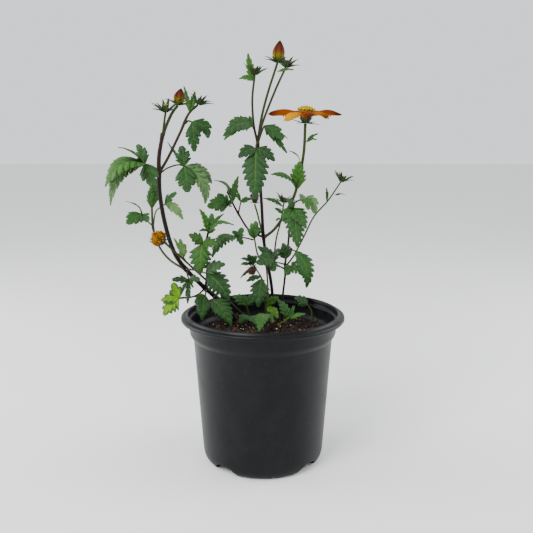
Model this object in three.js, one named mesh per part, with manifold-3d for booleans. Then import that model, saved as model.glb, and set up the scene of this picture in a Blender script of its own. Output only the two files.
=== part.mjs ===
// A young bidens plant in a round black nursery pot: several branched shoots, toothed leaves,
// one open flower, buds and spent heads. Millimetres, +Z up. The origin is the middle of the
// pot's underside, on the plane it stands on, and the plant's best side faces -Y.
import * as THREE from 'three';
import { mergeVertices } from 'three/addons/utils/BufferGeometryUtils.js';
import Module from 'manifold-3d';

const wasm = await Module();
wasm.setup();
const { Manifold, Mesh } = wasm;

// Driving dimensions of the pot.
const RIM_RADIUS = 65;
const RIDGE_RADIUS = 60.2;
const POT_HEIGHT = 122;
const COLLAR_RADIUS = 58.3;
const WALL_TOP = { radius: 55.3, z: 101.9 };
const WALL_FOOT = { radius: 49, z: 10.5 };
const WALL = 1;
const FLOOR = 6;
const CENTRE_PAD = 10;
const POT_SIDES = 32;
const ARCHES = { count: 4, turn: 50, width: 23, height: 7.5 };
const SLOTS = { count: 4, turn: 11, width: 5.5, height: 2.6 };

// Driving dimensions of the filling and the plant.
const SOIL_EDGE = 103.5;
const SOIL_MIDDLE = 105.5;
const GAP = 0.3;
const SMOOTHING = 0.06;
const BLADE_THICKNESS = 0.5;
const PETIOLE_RADIUS = 0.6;
const DOME = 3.4;

const finish = (color, roughness) => new THREE.MeshStandardMaterial({ color, roughness, metalness: 0 });
const BLACK_PLASTIC = finish(0x2b2d2f, 0.45);
const SOIL = finish(0x2e1f16, 0.95);
const DARK_STEM = finish(0x33222a, 0.55);
const GREEN_STEM = finish(0x55602c, 0.6);
const LEAF_GREEN = finish(0x3d7033, 0.6);
const YOUNG_GREEN = finish(0x6f9b3a, 0.6);
const ORANGE_PETAL = finish(0xd9641f, 0.6);
const FLOWER_YELLOW = finish(0xe2b21c, 0.8);
const CALYX_GREEN = finish(0x4a5a26, 0.7);
const DRY_BROWN = finish(0x6b4430, 0.9);

const plant = new THREE.Group();
plant.name = 'potted_bidens';

// ---- solids -------------------------------------------------------------------------------

const vec = ([x, y, z]) => new THREE.Vector3(x, y, z);

function solidOf(geometry) {
  const bare = geometry.index ? geometry.toNonIndexed() : geometry.clone();
  bare.deleteAttribute('normal');
  bare.deleteAttribute('uv');
  const merged = mergeVertices(bare, 1e-4);
  const corners = merged.index.array;
  const faces = [];
  for (let i = 0; i < corners.length; i += 3) {
    const [a, b, c] = corners.slice(i, i + 3);
    if (a !== b && b !== c && c !== a) faces.push(a, b, c);
  }
  const vertProperties = new Float32Array(merged.getAttribute('position').array);
  return new Manifold(new Mesh({ numProp: 3, vertProperties, triVerts: new Uint32Array(faces) }));
}

function geometryOf(solid) {
  const mesh = solid.getMesh();
  const geometry = new THREE.BufferGeometry();
  geometry.setAttribute('position', new THREE.BufferAttribute(new Float32Array(mesh.vertProperties), 3));
  geometry.setIndex(new THREE.BufferAttribute(new Uint32Array(mesh.triVerts), 1));
  geometry.computeVertexNormals();
  return geometry;
}

// Each piece gives way to those already in place, and leaves GAP around itself for later ones.
let taken = null;
function place(name, material, build) {
  let solid = build(0);
  if (taken) solid = solid.subtract(taken);
  const parts = solid.decompose();
  const whole = parts.sort((a, b) => b.volume() - a.volume())[0];
  const mesh = new THREE.Mesh(geometryOf(whole.simplify(SMOOTHING)), material);
  mesh.name = name;
  plant.add(mesh);
  const room = build(GAP);
  taken = taken ? taken.add(room) : room;
}

// A closed turned solid about +Z from [radius, height] pairs that start and end on the axis.
function turned(profile, sides) {
  const points = profile.map(([radius, height]) => new THREE.Vector2(radius, height));
  return new THREE.LatheGeometry(points, sides).rotateX(Math.PI / 2);
}

// Stands a shape that was made along +Z at a point, leaning in a direction.
function lean(geometry, at, direction) {
  const turn = new THREE.Quaternion();
  turn.setFromUnitVectors(new THREE.Vector3(0, 0, 1), vec(direction).normalize());
  return geometry.applyQuaternion(turn).translate(...at);
}

// ---- stems --------------------------------------------------------------------------------

function stem({ points, radius }, grow) {
  const sides = radius > 1 ? 6 : 5;
  const route = new THREE.CatmullRomCurve3(points.map(vec), false, 'centripetal');
  const ring = Array.from({ length: sides }, (_, i) => {
    const angle = (2 * Math.PI * i) / sides;
    return new THREE.Vector2(Math.cos(angle), Math.sin(angle)).multiplyScalar(radius + grow);
  });
  const steps = Math.max(3, points.length - 1);
  return solidOf(new THREE.ExtrudeGeometry(new THREE.Shape(ring), { steps, extrudePath: route }));
}

// ---- leaf blades --------------------------------------------------------------------------

// Which way a blade's upper side looks.
const FACING = { front: [0, -0.9, 0.45], up: [0, -0.45, 0.9], back: [0, 0.8, -0.3] };
const RISE = [0, -0.35, 1];

// Half of a toothed outline: how far along the midrib, and how wide as a share of the half-width.
const BROAD = [[0, 0.14], [0.26, 1], [0.4, 0.62], [0.58, 0.85], [0.75, 0.45]];
const NARROW = [[0, 0.2], [0.35, 1], [0.7, 0.6]];

function blade({ base, tip, halfWidth, bow, face }, grow) {
  const from = vec(base);
  const to = vec(tip);
  const chord = to.clone().sub(from);
  const rise = vec(RISE).projectOnPlane(chord).normalize();
  const crest = from.clone().add(to).multiplyScalar(0.5).addScaledVector(rise, 2 * bow);
  const midrib = new THREE.QuadraticBezierCurve3(from, crest, to);
  const length = midrib.getLength();
  const half = halfWidth > 4 ? BROAD : NARROW;
  const right = half.map(([along, wide]) => [along * length, wide * halfWidth + grow]);
  const left = right.map(([along, wide]) => [along, -wide]).reverse();
  const outline = [...left, ...right, [length + grow, 0]].map(([u, v]) => new THREE.Vector2(u, v));
  const depth = BLADE_THICKNESS + 2 * grow;
  const flat = new THREE.ExtrudeGeometry(new THREE.Shape(outline), { depth, bevelEnabled: false });
  const corners = flat.getAttribute('position');
  for (let i = 0; i < corners.count; i += 1) {
    const share = Math.min(1, corners.getX(i) / length);
    const along = midrib.getTangent(share);
    const up = vec(FACING[face]).projectOnPlane(along).normalize();
    const across = new THREE.Vector3().crossVectors(up, along);
    const point = midrib.getPoint(share).addScaledVector(along, corners.getX(i) - share * length);
    point.addScaledVector(across, corners.getY(i));
    point.addScaledVector(up, corners.getZ(i) - depth / 2);
    corners.setXYZ(i, point.x, point.y, point.z);
  }
  return solidOf(flat);
}

const blades = (rows, base) =>
  rows.map(([tip, halfWidth, bow, face]) => ({ base, tip, halfWidth, bow, face }));

// A leaf is its stalk and the leaflets that spread from the stalk's far end.
function leaf({ petiole, leaflets }, grow) {
  const end = petiole[petiole.length - 1];
  const rows = blades(leaflets, end).map((row) => blade(row, grow));
  return Manifold.union([stem({ points: petiole, radius: PETIOLE_RADIUS }, grow), ...rows]);
}

// A shoot is its stems and the young blades at its tips, grown together.
function shoot({ stems, tips }, grow) {
  const young = tips.map(([base, tip, halfWidth, bow, face]) =>
    blade({ base, tip, halfWidth, bow, face }, grow));
  return Manifold.union([...stems.map(([radius, points]) => stem({ points, radius }, grow)), ...young]);
}

// ---- the pot and what it holds ------------------------------------------------------------

// Cutters for a ring of openings that run outwards through the foot of the wall.
function notches({ count, turn, width, height }) {
  return Array.from({ length: count }, (_, i) => {
    const bore = new THREE.CylinderGeometry(1, 1, 4 * FLOOR, 16).rotateZ(Math.PI / 2);
    bore.scale(1, width / 2, height).translate(WALL_FOOT.radius, 0, 0);
    return solidOf(bore.rotateZ(THREE.MathUtils.degToRad(turn + (360 * i) / count)));
  });
}

function pot(grow) {
  const outside = [
    [0, 0], [CENTRE_PAD, 0], [CENTRE_PAD + 3, FLOOR], [38, FLOOR], [39.5, 0], [42.6, 0],
    [45.4, 1.2], [47.5, 3.6], [48.6, 7], [WALL_FOOT.radius, WALL_FOOT.z],
    [WALL_TOP.radius, WALL_TOP.z], [55.9, 102.8], [57.4, 104.8], [COLLAR_RADIUS, 107.4],
    [COLLAR_RADIUS, 115.6], [63.9, 116.4], [RIM_RADIUS, 117.2], [RIM_RADIUS, 119],
    [64.2, 119.8], [62.6, 120.3], [62, 119.9], [61.2, 121.2],
  ];
  const inside = [
    [RIDGE_RADIUS, POT_HEIGHT], [59.4, 121.4], [59.2, 117], [COLLAR_RADIUS - WALL, 116.3],
    [COLLAR_RADIUS - WALL, 107.8], [WALL_TOP.radius - WALL, WALL_TOP.z + 0.7],
    [WALL_FOOT.radius - WALL, WALL_FOOT.z], [47, 8.2], [44, FLOOR + WALL + 0.2],
    [CENTRE_PAD + 2.4, FLOOR + WALL], [CENTRE_PAD - 0.6, WALL], [0, WALL],
  ];
  const body = solidOf(turned([...outside, ...inside], POT_SIDES));
  return grow > 0 ? body : body.subtract(Manifold.union([...notches(ARCHES), ...notches(SLOTS)]));
}

function pottingMix() {
  const profile = [
    [0, WALL + GAP], [CENTRE_PAD - 1, WALL + GAP], [CENTRE_PAD + 2, FLOOR + WALL + GAP],
    [39, FLOOR + WALL + GAP + 0.2], [WALL_FOOT.radius - WALL - 2, WALL_FOOT.z],
    [WALL_TOP.radius - WALL - GAP - 0.1, WALL_TOP.z + 0.5], [54.5, SOIL_EDGE],
    [40, SOIL_EDGE + 0.8], [18, SOIL_MIDDLE], [0, SOIL_MIDDLE],
  ];
  return solidOf(turned(profile, POT_SIDES));
}

// ---- flowers, buds and heads --------------------------------------------------------------

// A ring of pointed bracts spreading from one point, about an axis.
function bracts({ at, axis, count, length, spread, grow }) {
  return Array.from({ length: count }, (_, i) => {
    const spike = new THREE.ConeGeometry(0.7 + grow, length, 4).translate(0, length / 2, 0);
    spike.rotateX(Math.PI / 2).rotateY(spread).rotateZ((2 * Math.PI * i) / count);
    return solidOf(lean(spike, at, axis));
  });
}

function bud({ at, axis, radius, length, spread = 1.1 }, grow) {
  const wide = radius + grow;
  const profile = [[0, -grow], [wide * 0.7, 0.1 * length], [wide, 0.4 * length],
    [wide * 0.75, 0.75 * length], [0, length + grow]];
  const body = solidOf(lean(turned(profile, 7), at, axis));
  const ring = bracts({ at, axis, count: 4, length: radius * 2.4, spread, grow });
  return Manifold.union([body, ...ring]);
}

// ---- the plant's rows ----------------------------------------------------------------------

// Each stem: its radius and the points it passes. Each young tip: base, tip, half-width, bow, facing.
const SHOOTS = {
  left_shoot: {
    material: DARK_STEM,
    stems: [
      [1.7, [[-23, 30, 92], [-23, 30, 105], [-34, 24, 123], [-47, 16, 137], [-61, 5, 155], [-69, -5, 171],
        [-74, -13, 193], [-77, -16, 216], [-77, -18, 234]]],
      [1.5, [[-77, -18, 233], [-76, -22, 246], [-72, -28, 262]]],
      [0.8, [[-72, -28, 261], [-70, -31, 272], [-69, -32, 277]]],
      [1.1, [[-72, -28, 261], [-69, -26, 269], [-65, -25, 277], [-61, -25, 282]]],
      [1, [[-77, -18, 233], [-71, -10, 244], [-63, 2, 262], [-57, 8, 276], [-50, 11, 283]]],
      [0.9, [[-47, 16, 137], [-44, 2, 155], [-43, -15, 178], [-40, -24, 193]]],
      [0.7, [[-47, 16, 137], [-52, 3, 135], [-57, -6, 135], [-63, -12, 136]]],
      [1, [[-62, 5, 155], [-76, 20, 160], [-86, 32, 169], [-92, 41, 183], [-93, 44, 201]]],
      [0.6, [[-92, 41, 183], [-91, 50, 195], [-87, 56, 199]]],
    ],
    tips: [
      [[-56, 8, 277], [-60, 8, 297], 1.5, 1, 'front'], [[-55, 8, 279], [-52, 14, 293], 2, 1, 'front'],
      [[-41, -22, 188], [-46, -34, 208], 2, 2, 'front'],
      [[-40, -24, 190], [-29, -22, 203], 1.5, 2, 'front'],
      [[-40, -24, 190], [-21, -31, 196], 3.5, 5, 'up'],
      [[-40, -24, 190], [-38, -19, 203], 3.5, 1, 'front'],
      [[-41, -22, 188], [-47, -28, 191], 1.5, 2, 'up'], [[-40, -22, 188], [-36, -13, 190], 1.5, 1, 'up'],
      [[-92, 44, 200], [-87, 44, 225], 3, 2, 'front'], [[-93, 44, 199], [-90, 35, 220], 2.5, 2, 'front'],
      [[-92, 44, 202], [-88, 50, 214], 2.5, 1, 'front'],
    ],
  },
  middle_shoot: {
    material: DARK_STEM,
    stems: [
      [1.3, [[9, 36, 92], [9, 36, 105], [7, 34, 136], [1, 29, 172], [-1, 23, 204], [-3, 17, 237],
        [-4, 14, 256]]],
      [0.9, [[-4, 14, 254], [-7, 14, 268], [-8, 11, 287], [-6, 8, 305]]],
      [1, [[-4, 14, 254], [-1, 8, 273], [4, 2, 292], [11, -4, 313]]],
      [0.9, [[-4, 14, 254], [0, 20, 270], [10, 26, 295], [18, 29, 312]]],
      [1.2, [[1, 29, 177], [10, 14, 187], [19, -4, 204], [25, -16, 220], [30, -22, 246], [31, -25, 269]]],
      [0.9, [[1, 29, 177], [-11, 38, 181], [-21, 50, 194], [-29, 58, 208]]],
      [0.6, [[-21, 50, 194], [-19, 56, 203]]],
      [0.7, [[4, 31, 151], [-4, 28, 162], [-7, 29, 176]]],
    ],
    tips: [
      [[-29, 58, 208], [-42, 50, 222], 3.5, 5, 'up'], [[-26, 55, 203], [-21, 59, 225], 2.5, 2, 'front'],
      [[-19, 56, 203], [-22, 53, 214], 1, 0, 'front'], [[-19, 56, 203], [-25, 50, 211], 1, 1, 'front'],
      [[-19, 56, 203], [-10, 53, 206], 2, 1, 'front'], [[25, -16, 221], [6, -31, 233], 3.5, 5, 'up'],
      [[26, -16, 221], [27, -28, 242], 4.5, 1, 'front'], [[28, -22, 238], [19, -31, 250], 1, 3, 'up'],
      [[32, -24, 256], [40, -28, 262], 1, 1, 'front'], [[32, -24, 256], [39, -31, 258], 1, 1, 'front'],
      [[-7, 29, 176], [-5, 23, 191], 4.5, 1, 'front'], [[-7, 29, 176], [-2, 20, 185], 1.5, 1, 'front'],
      [[-7, 8, 301], [-11, 8, 321], 2.5, -1, 'front'], [[-7, 8, 301], [-18, 2, 302], 2, 2, 'front'],
      [[11, -1, 307], [23, -7, 308], 1, 1, 'front'],
    ],
  },
  right_shoot: {
    material: DARK_STEM,
    stems: [
      [0.9, [[16, 22, 92], [16, 22, 104], [16, 20, 126], [18, 15, 148], [18, 15, 158], [20, 8, 174],
        [21, 5, 190]]],
      [0.7, [[18, 15, 155], [25, 17, 164], [33, 23, 178], [42, 32, 194], [54, 41, 206], [65, 47, 221]]],
      [0.7, [[18, 15, 153], [10, 28, 157], [11, 50, 171], [15, 62, 185], [18, 68, 201]]],
    ],
    tips: [
      [[17, 66, 198], [0, 59, 206], 1.5, 2, 'front'], [[16, 65, 192], [10, 62, 197], 1.5, 1, 'front'],
      [[15, 62, 188], [11, 56, 187], 1, 1, 'front'], [[53, 41, 205], [52, 35, 217], 1, 1, 'front'],
      [[60, 46, 210], [69, 50, 210], 1, 1, 'up'],
    ],
  },
  slender_shoot: {
    material: GREEN_STEM,
    stems: [
      [0.8, [[3, 42, 92], [3, 42, 104], [4, 45, 133], [0, 50, 171], [-4, 44, 192], [-7, 41, 203]]],
    ],
    tips: [],
  },
  short_shoot: {
    material: GREEN_STEM,
    stems: [
      [0.6, [[2, 24, 92], [2, 24, 105], [2, 20, 135], [-1, 13, 146], [-5, 9, 154], [-8, 4, 160]]],
    ],
    tips: [
      [[-8, 4, 159], [-12, -2, 168], 2.5, 1, 'front'], [[-8, 4, 159], [-17, -7, 166], 2.5, 2, 'up'],
      [[-8, 4, 159], [-17, -9, 162], 2, 1, 'up'], [[-8, 4, 159], [-5, 6, 166], 2, 1, 'front'],
      [[-1, 13, 148], [-13, 2, 146], 2.5, 1, 'up'], [[-5, 10, 154], [-18, -1, 149], 1.5, 3, 'up'],
    ],
  },
  spent_flower_stalk: {
    material: GREEN_STEM,
    stems: [
      [0.8, [[-10, 26, 92], [-11, 26, 105], [-27, 14, 126], [-44, -1, 147], [-56, -13, 162],
        [-67, -22, 175], [-73, -30, 183]]],
    ],
    tips: [],
  },
  seedling: {
    material: YOUNG_GREEN,
    stems: [
      [0.6, [[13, 10, 92], [13, 10, 107], [18, 8, 112], [22, 5, 116]]],
    ],
    tips: [
      [[22, 5, 115], [34, 0, 120], 2.5, 1, 'up'], [[22, 5, 115], [25, 6, 125], 1.5, 0, 'front'],
      [[20, 7, 114], [12, 14, 128], 3, 3, 'front'],
    ],
  },
};

// Each leaf: its stalk from the stem outwards, then its leaflets as tip, half-width, bow and facing.
const LEAVES = {
  upper_left_leaf: [[[-76, -19, 233], [-83, -24, 239], [-86, -26, 240]], [
    [[-101, -46, 253], 4, 3, 'up'], [[-92, -22, 254], 3, 2, 'front'], [[-110, -52, 226], 7, 9, 'up'],
    [[-108, -46, 212], 3.5, 12, 'back'], [[-79, -37, 225], 4.5, 2, 'front']]],
  upper_right_leaf: [[[-76, -14, 233], [-72, -7, 236], [-65, -1, 238], [-60, -1, 237]], [
    [[-63, 8, 252], 4.5, 0, 'front'], [[-74, 11, 255], 1, 0, 'front'], [[-57, -10, 218], 6, 2, 'front'],
    [[-45, 2, 208], 4, 8, 'back'], [[-40, 8, 223], 2.5, 5, 'back']]],
  bud_stalk_leaf: [[[-59, 5, 269], [-57, 6, 271], [-54, 6, 270]], [
    [[-52, -1, 248], 4, 2, 'front'], [[-43, 11, 258], 4, 4, 'front']]],
  crown_left_leaf: [[[-4, 11, 256], [-6, 10, 263], [-8, 8, 267]], [
    [[-17, 8, 272], 3, 1, 'front'], [[-25, -4, 270], 3, 2, 'front'], [[-29, -16, 260], 3.5, 5, 'front'],
    [[-29, -7, 257], 3.5, 4, 'up']]],
  crown_right_leaf: [[[-3, 17, 256], [-1, 20, 262], [1, 23, 267]], [
    [[20, 35, 257], 4, 1.5, 'up'], [[16, 14, 257], 4, 1, 'front'], [[19, 20, 246], 2, 1, 'front']]],
  hanging_leaf: [[[-4, 8, 255], [-5, -1, 253], [-5, -6, 250]], [
    [[-18, -10, 244], 4.5, 2, 'front'], [[9, -4, 241], 4.5, 2, 'front'], [[-6, -13, 213], 8.5, 3, 'front']]],
  right_arching_leaf: [[[23, -8, 209], [28, -10, 212], [31, -13, 213]], [
    [[39, -19, 203], 4, 5, 'back'], [[29, -4, 216], 2, 0, 'back'], [[34, -28, 207], 3.5, 3, 'up']]],
  right_hanging_leaf: [[[23, -6, 207], [23, -14, 206]], [
    [[18, -22, 213], 3, 1, 'front'], [[32, -28, 193], 4.5, 2, 'front'], [[26, -23, 178], 5.5, 2, 'front'],
    [[16, -16, 196], 3.5, 2, 'front']]],
  lower_right_leaf: [[[21, 8, 173], [23, 0, 172], [25, -5, 172]], [
    [[34, -7, 143], 5.5, 8, 'front']]],
  lower_right_small_leaf: [[[19, 10, 158], [23, 2, 158]], [
    [[33, -3, 152], 3, 2, 'front'], [[27, 4, 162], 2, 1, 'up'], [[18, -5, 153], 3, 1, 'front']]],
  grey_leaf: [[[18, 12, 159], [18, 4, 164]], [
    [[15, -3, 177], 4.5, 1, 'front'], [[11, 9, 171], 2.5, 1, 'front']]],
  dark_leaf: [[[17, 17, 157], [13, 12, 159], [9, 7, 161]], [
    [[-4, -9, 162], 5.5, 3, 'front'], [[8, -2, 155], 3, 1, 'front'], [[-4, 3, 174], 3, 1, 'front'],
    [[1, 14, 172], 2.5, 1, 'front'], [[11, 23, 168], 2.5, 1, 'up']]],
  front_hanging_leaf: [[[1, 13, 144], [-1, 6, 147]], [
    [[-4, -2, 126], 6.5, 3, 'front']]],
  dark_side_leaf: [[[-60, -3, 157], [-52, -12, 158], [-43, -19, 157]], [
    [[-28, -29, 166], 4.5, 2, 'front'], [[-26, -20, 136], 7, 3, 'front'], [[-36, -19, 144], 3, 1, 'front']]],
  arching_leaf: [[[-8, 23, 176], [-14, 14, 179], [-20, 5, 181]], [
    [[-39, -12, 168], 5.5, 9, 'up'], [[-16, 8, 188], 3, 0, 'front'], [[-24, 2, 186], 2, 1, 'front'],
    [[-16, 0, 176], 2.5, 1, 'front']]],
  three_part_leaf: [[[-42, -18, 183], [-45, -26, 181]], [
    [[-54, -34, 189], 4, 1, 'front'], [[-33, -33, 182], 4, 1, 'front'], [[-47, -26, 158], 7, 3, 'front']]],
  left_branch_leaf: [[[-27, 52, 200], [-29, 44, 202]], [
    [[-38, 41, 211], 3.5, 1, 'front'], [[-45, 29, 202], 6, 2, 'front'], [[-25, 35, 205], 3, 1, 'front']]],
  grey_green_leaf: [[[-60, 0, 154], [-57, -13, 150]], [
    [[-69, -20, 152], 2.5, 1, 'front'], [[-48, -20, 152], 3, 1, 'front'],
    [[-58, -18, 133], 2, 1, 'front'], [[-63, -18, 141], 1.5, 1, 'front'], [[-53, -20, 146], 1, 0, 'front']]],
  yellow_green_leaf: [[[-63, -12, 136], [-65, -14, 136]], [
    [[-69, -17, 149], 4.5, 0, 'front'], [[-76, -20, 124], 5.5, 2, 'front'],
    [[-78, -20, 136], 4, 1, 'front']]],
  rim_leaf: [[[-46, 11, 137], [-46, 3, 134]], [
    [[-54, -2, 129], 4, 1, 'front'], [[-48, -8, 117], 5, 3, 'front']]],
  long_tip_leaf: [[[-40, 18, 130], [-41, 8, 129]], [
    [[-25, -6, 112], 6.5, 4, 'front']]],
  soil_leaf: [[[4, 16, 117], [2, 6, 118]], [
    [[-3, -20, 111], 5, 4, 'up'], [[8, -8, 115], 3.5, 2, 'up']]],
  back_rim_leaf: [[[42, 33, 106], [41, 36, 113], [38, 39, 117]], [
    [[27, 48, 121], 2.5, 2, 'front'], [[30, 46, 115], 1.5, 1, 'front']]],
  inner_right_leaf: [[[3, 26, 114], [4, 22, 120]], [
    [[13, 22, 128], 3, 2, 'front'], [[12, 12, 113], 4, 2, 'up']]],
  inner_left_leaf: [[[-11, 36, 106], [-14, 36, 117]], [
    [[-26, 39, 125], 4, 2, 'front'], [[-9, 41, 125], 4, 1, 'front']]],
  inner_low_leaf: [[[-6, 28, 106], [-11, 20, 112]], [
    [[-19, 8, 110], 4, 3, 'up'], [[-5, 4, 110], 4, 3, 'up']]],
  side_shoot_left_leaf: [[[-92, 40, 185], [-95, 32, 190], [-98, 27, 196]], [
    [[-109, 16, 208], 2.5, 3, 'up'], [[-107, 8, 191], 5, 2, 'front'], [[-92, 16, 192], 3, 1, 'front']]],
  side_shoot_right_leaf: [[[-87, 56, 199], [-84, 59, 201]], [
    [[-74, 59, 211], 3, 1, 'front'], [[-68, 50, 189], 3.5, 4, 'back']]],
  feather_leaf: [[[-60, -4, 163], [-62, -2, 166]], [
    [[-70, 2, 181], 1, 1, 'back'], [[-65, 2, 180], 1.5, 1, 'back'], [[-61, 2, 176], 1.5, 1, 'back'],
    [[-66, 1, 169], 1.5, 1, 'back']]],
};

const BUDS = {
  left_round_bud: { at: [-69, -32.2, 277.5], axis: [0.1, -0.3, 1], radius: 2.6, length: 7 },
  left_red_bud: { at: [-61, -25, 282.4], axis: [0.25, -0.1, 1], radius: 4, length: 12, spread: 1.3 },
  left_spiky_bud: { at: [-49.5, 11.2, 283.4], axis: [0.4, 0.1, 1], radius: 2.8, length: 6 },
  top_left_bud: { at: [-6, 8, 305.4], axis: [0.1, -0.1, 1], radius: 2.8, length: 6 },
  top_red_bud: { at: [11, -4, 313.4], axis: [0.12, -0.08, 1], radius: 4.3, length: 16 },
  top_right_bud: { at: [18, 29, 312.4], axis: [0.2, 0.1, 1], radius: 3, length: 6.5 },
  far_right_bud: { at: [65.2, 47, 221.4], axis: [0.4, 0.2, 1], radius: 3, length: 5.5 },
  low_spiky_bud: { at: [18, 68, 201.4], axis: [0.1, 0.1, 1], radius: 3, length: 5.5 },
};

// The open flower's foot, its tilt, and its rays as compass turn, length, half-width and droop.
const FLOWER = { at: [31.1, -25, 269.4], axis: [0.06, -0.02, 1] };
const RAYS = [
  [-6, 26, 4, 2.2], [-48, 23, 4.5, 5.5], [-88, 20, 6, 5], [-132, 24, 4.5, 8], [176, 28, 4.5, 1.6],
  [132, 24, 5.5, 3], [88, 23, 5.5, 3], [40, 25, 5, 3],
];

// ---- assembly -----------------------------------------------------------------------------

place('nursery_pot', BLACK_PLASTIC, pot);
for (const [name, { material, ...rest }] of Object.entries(SHOOTS)) {
  place(name, material, (grow) => shoot(rest, grow));
}
for (const [name, [petiole, leaflets]] of Object.entries(LEAVES)) {
  place(name, LEAF_GREEN, (grow) => leaf({ petiole, leaflets }, grow));
}
for (const [name, row] of Object.entries(BUDS)) {
  place(name, CALYX_GREEN, (grow) => bud(row, grow));
}

place('flower_calyx', CALYX_GREEN, (grow) => {
  const cup = [[0, -grow], [2.4 + grow, 0.6], [4 + grow, 3], [4.2 + grow, 5.6 + grow], [0, 5.6 + grow]];
  const ring = bracts({ ...FLOWER, count: 8, length: 10, spread: 1.45, grow });
  return Manifold.union([solidOf(lean(turned(cup, 12), FLOWER.at, FLOWER.axis)), ...ring]);
});
const FACE = vec(FLOWER.at).addScaledVector(vec(FLOWER.axis), 6.4);
place('flower_disc', FLOWER_YELLOW, (grow) => {
  const wide = 6 + grow;
  const dome = [[0, -grow], [3.4 + grow, -grow], [wide, 2.2], [wide * 0.8, 4.4], [0, 3 + DOME / 2 + grow]];
  return solidOf(lean(turned(dome, 12), FACE.toArray(), FLOWER.axis));
});
RAYS.forEach(([turn, length, halfWidth, droop], i) => {
  const angle = THREE.MathUtils.degToRad(turn);
  const out = new THREE.Vector3(Math.cos(angle), Math.sin(angle), 0);
  const base = FACE.clone().addScaledVector(out, 3.6).add(new THREE.Vector3(0, 0, 1)).toArray();
  const tip = FACE.clone().addScaledVector(out, length).add(new THREE.Vector3(0, 0, 1.5 - droop)).toArray();
  const row = { base, tip, halfWidth, bow: 1.6, face: 'up' };
  place(`petal_${i + 1}`, ORANGE_PETAL, (grow) => blade(row, grow));
});

place('spent_head', FLOWER_YELLOW, (grow) => {
  const axis = [-6, -6, 5];
  const cup = [[0, -grow], [2.6 + grow, 1.5], [3.6 + grow, 6], [6 + grow, 9.5], [5 + grow, 15], [0, 16 + grow]];
  const at = [-72.8, -31.4, 183.6];
  const ring = bracts({ at, axis, count: 5, length: 9, spread: 1.3, grow });
  return Manifold.union([solidOf(lean(turned(cup, 10), at, axis)), ...ring]);
});
place('fading_head', ORANGE_PETAL, (grow) => bud({
  at: [-6.8, 41, 204], axis: [0, 0.1, 1], radius: 4.2, length: 13, spread: 1.2,
}, grow));
place('dried_head', DRY_BROWN, (grow) => bud({
  at: [-8, 3, 157], axis: [-0.2, -0.9, -0.6], radius: 3.8, length: 8, spread: 0.8,
}, grow));
place('potting_mix', SOIL, pottingMix);

export default plant;
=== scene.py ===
import math
import random

import bmesh
import bpy
from mathutils import Matrix, Quaternion, Vector, noise


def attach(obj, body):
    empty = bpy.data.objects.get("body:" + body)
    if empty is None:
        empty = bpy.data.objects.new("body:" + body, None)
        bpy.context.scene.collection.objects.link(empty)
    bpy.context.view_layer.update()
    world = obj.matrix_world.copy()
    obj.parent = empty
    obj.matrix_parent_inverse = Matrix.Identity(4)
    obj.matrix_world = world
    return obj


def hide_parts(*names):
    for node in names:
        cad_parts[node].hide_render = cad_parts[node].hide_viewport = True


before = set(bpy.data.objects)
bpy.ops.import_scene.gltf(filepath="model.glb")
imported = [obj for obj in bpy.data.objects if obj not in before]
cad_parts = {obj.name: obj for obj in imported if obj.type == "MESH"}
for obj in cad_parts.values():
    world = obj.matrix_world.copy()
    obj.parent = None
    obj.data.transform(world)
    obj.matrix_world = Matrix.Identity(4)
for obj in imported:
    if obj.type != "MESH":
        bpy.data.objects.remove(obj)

MM = 0.001
TURN = 2 * math.pi
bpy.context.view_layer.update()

# ---- node trees ---------------------------------------------------------------------------


class Value:
    """A socket in a node tree. Sums written on it add the maths nodes that work them out."""

    def __init__(self, graph, socket):
        self.graph, self.socket = graph, socket

    def maths(self, operation, *others):
        return self.graph.add("ShaderNodeMath", {"operation": operation}, dict(enumerate([self, *others])))

    def __add__(self, other):
        return self.maths("ADD", other)

    def __sub__(self, other):
        return self.maths("SUBTRACT", other)

    def __mul__(self, other):
        return self.maths("MULTIPLY", other)

    def __truediv__(self, other):
        return self.maths("DIVIDE", other)

    def __pow__(self, other):
        return self.maths("POWER", other)

    def __rsub__(self, other):
        return self.graph.add("ShaderNodeMath", {"operation": "SUBTRACT"}, {0: other, 1: self})

    __radd__ = __add__
    __rmul__ = __mul__

    def fraction(self):
        return self.maths("FRACT")

    def size(self):
        return self.maths("ABSOLUTE")

    def sine(self):
        return self.maths("SINE")

    def cosine(self):
        return self.maths("COSINE")

    def smooth(self, low, high):
        """0 at low and 1 at high, with an easy start and end."""
        ends = {"From Min": low, "From Max": high}
        kind = {"interpolation_type": "SMOOTHSTEP"}
        return self.graph.add("ShaderNodeMapRange", kind, {"Value": self, **ends})


class Graph:
    """A node tree while it is being written."""

    def __init__(self, tree):
        self.tree = tree

    def add(self, kind, settings=None, values=None, output=0):
        """Makes one node: its settings first, then its sockets. Gives back the output asked for."""
        node = self.tree.nodes.new(kind)
        for name, setting in (settings or {}).items():
            if name == "stops":
                self.set_stops(node.color_ramp, setting)
            else:
                setattr(node, name, setting)
        for name, value in (values or {}).items():
            sockets = [s for s in node.inputs if s.enabled]
            if isinstance(name, int):
                self.feed(sockets[name], value)
            else:
                self.feed(next(s for s in sockets if s.name == name), value)
        outputs = [s for s in node.outputs if s.enabled]
        if isinstance(output, str):
            return Value(self, next(s for s in outputs if s.name == output))
        return Value(self, outputs[output])

    def feed(self, socket, value):
        if isinstance(value, Value):
            self.tree.links.new(value.socket, socket)
        else:
            socket.default_value = value

    @staticmethod
    def set_stops(ramp, stops):
        while len(ramp.elements) < len(stops):
            ramp.elements.new(1)
        for element, (place, colour) in zip(ramp.elements, stops):
            element.position = place
            element.color = (*colour, 1)


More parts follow.
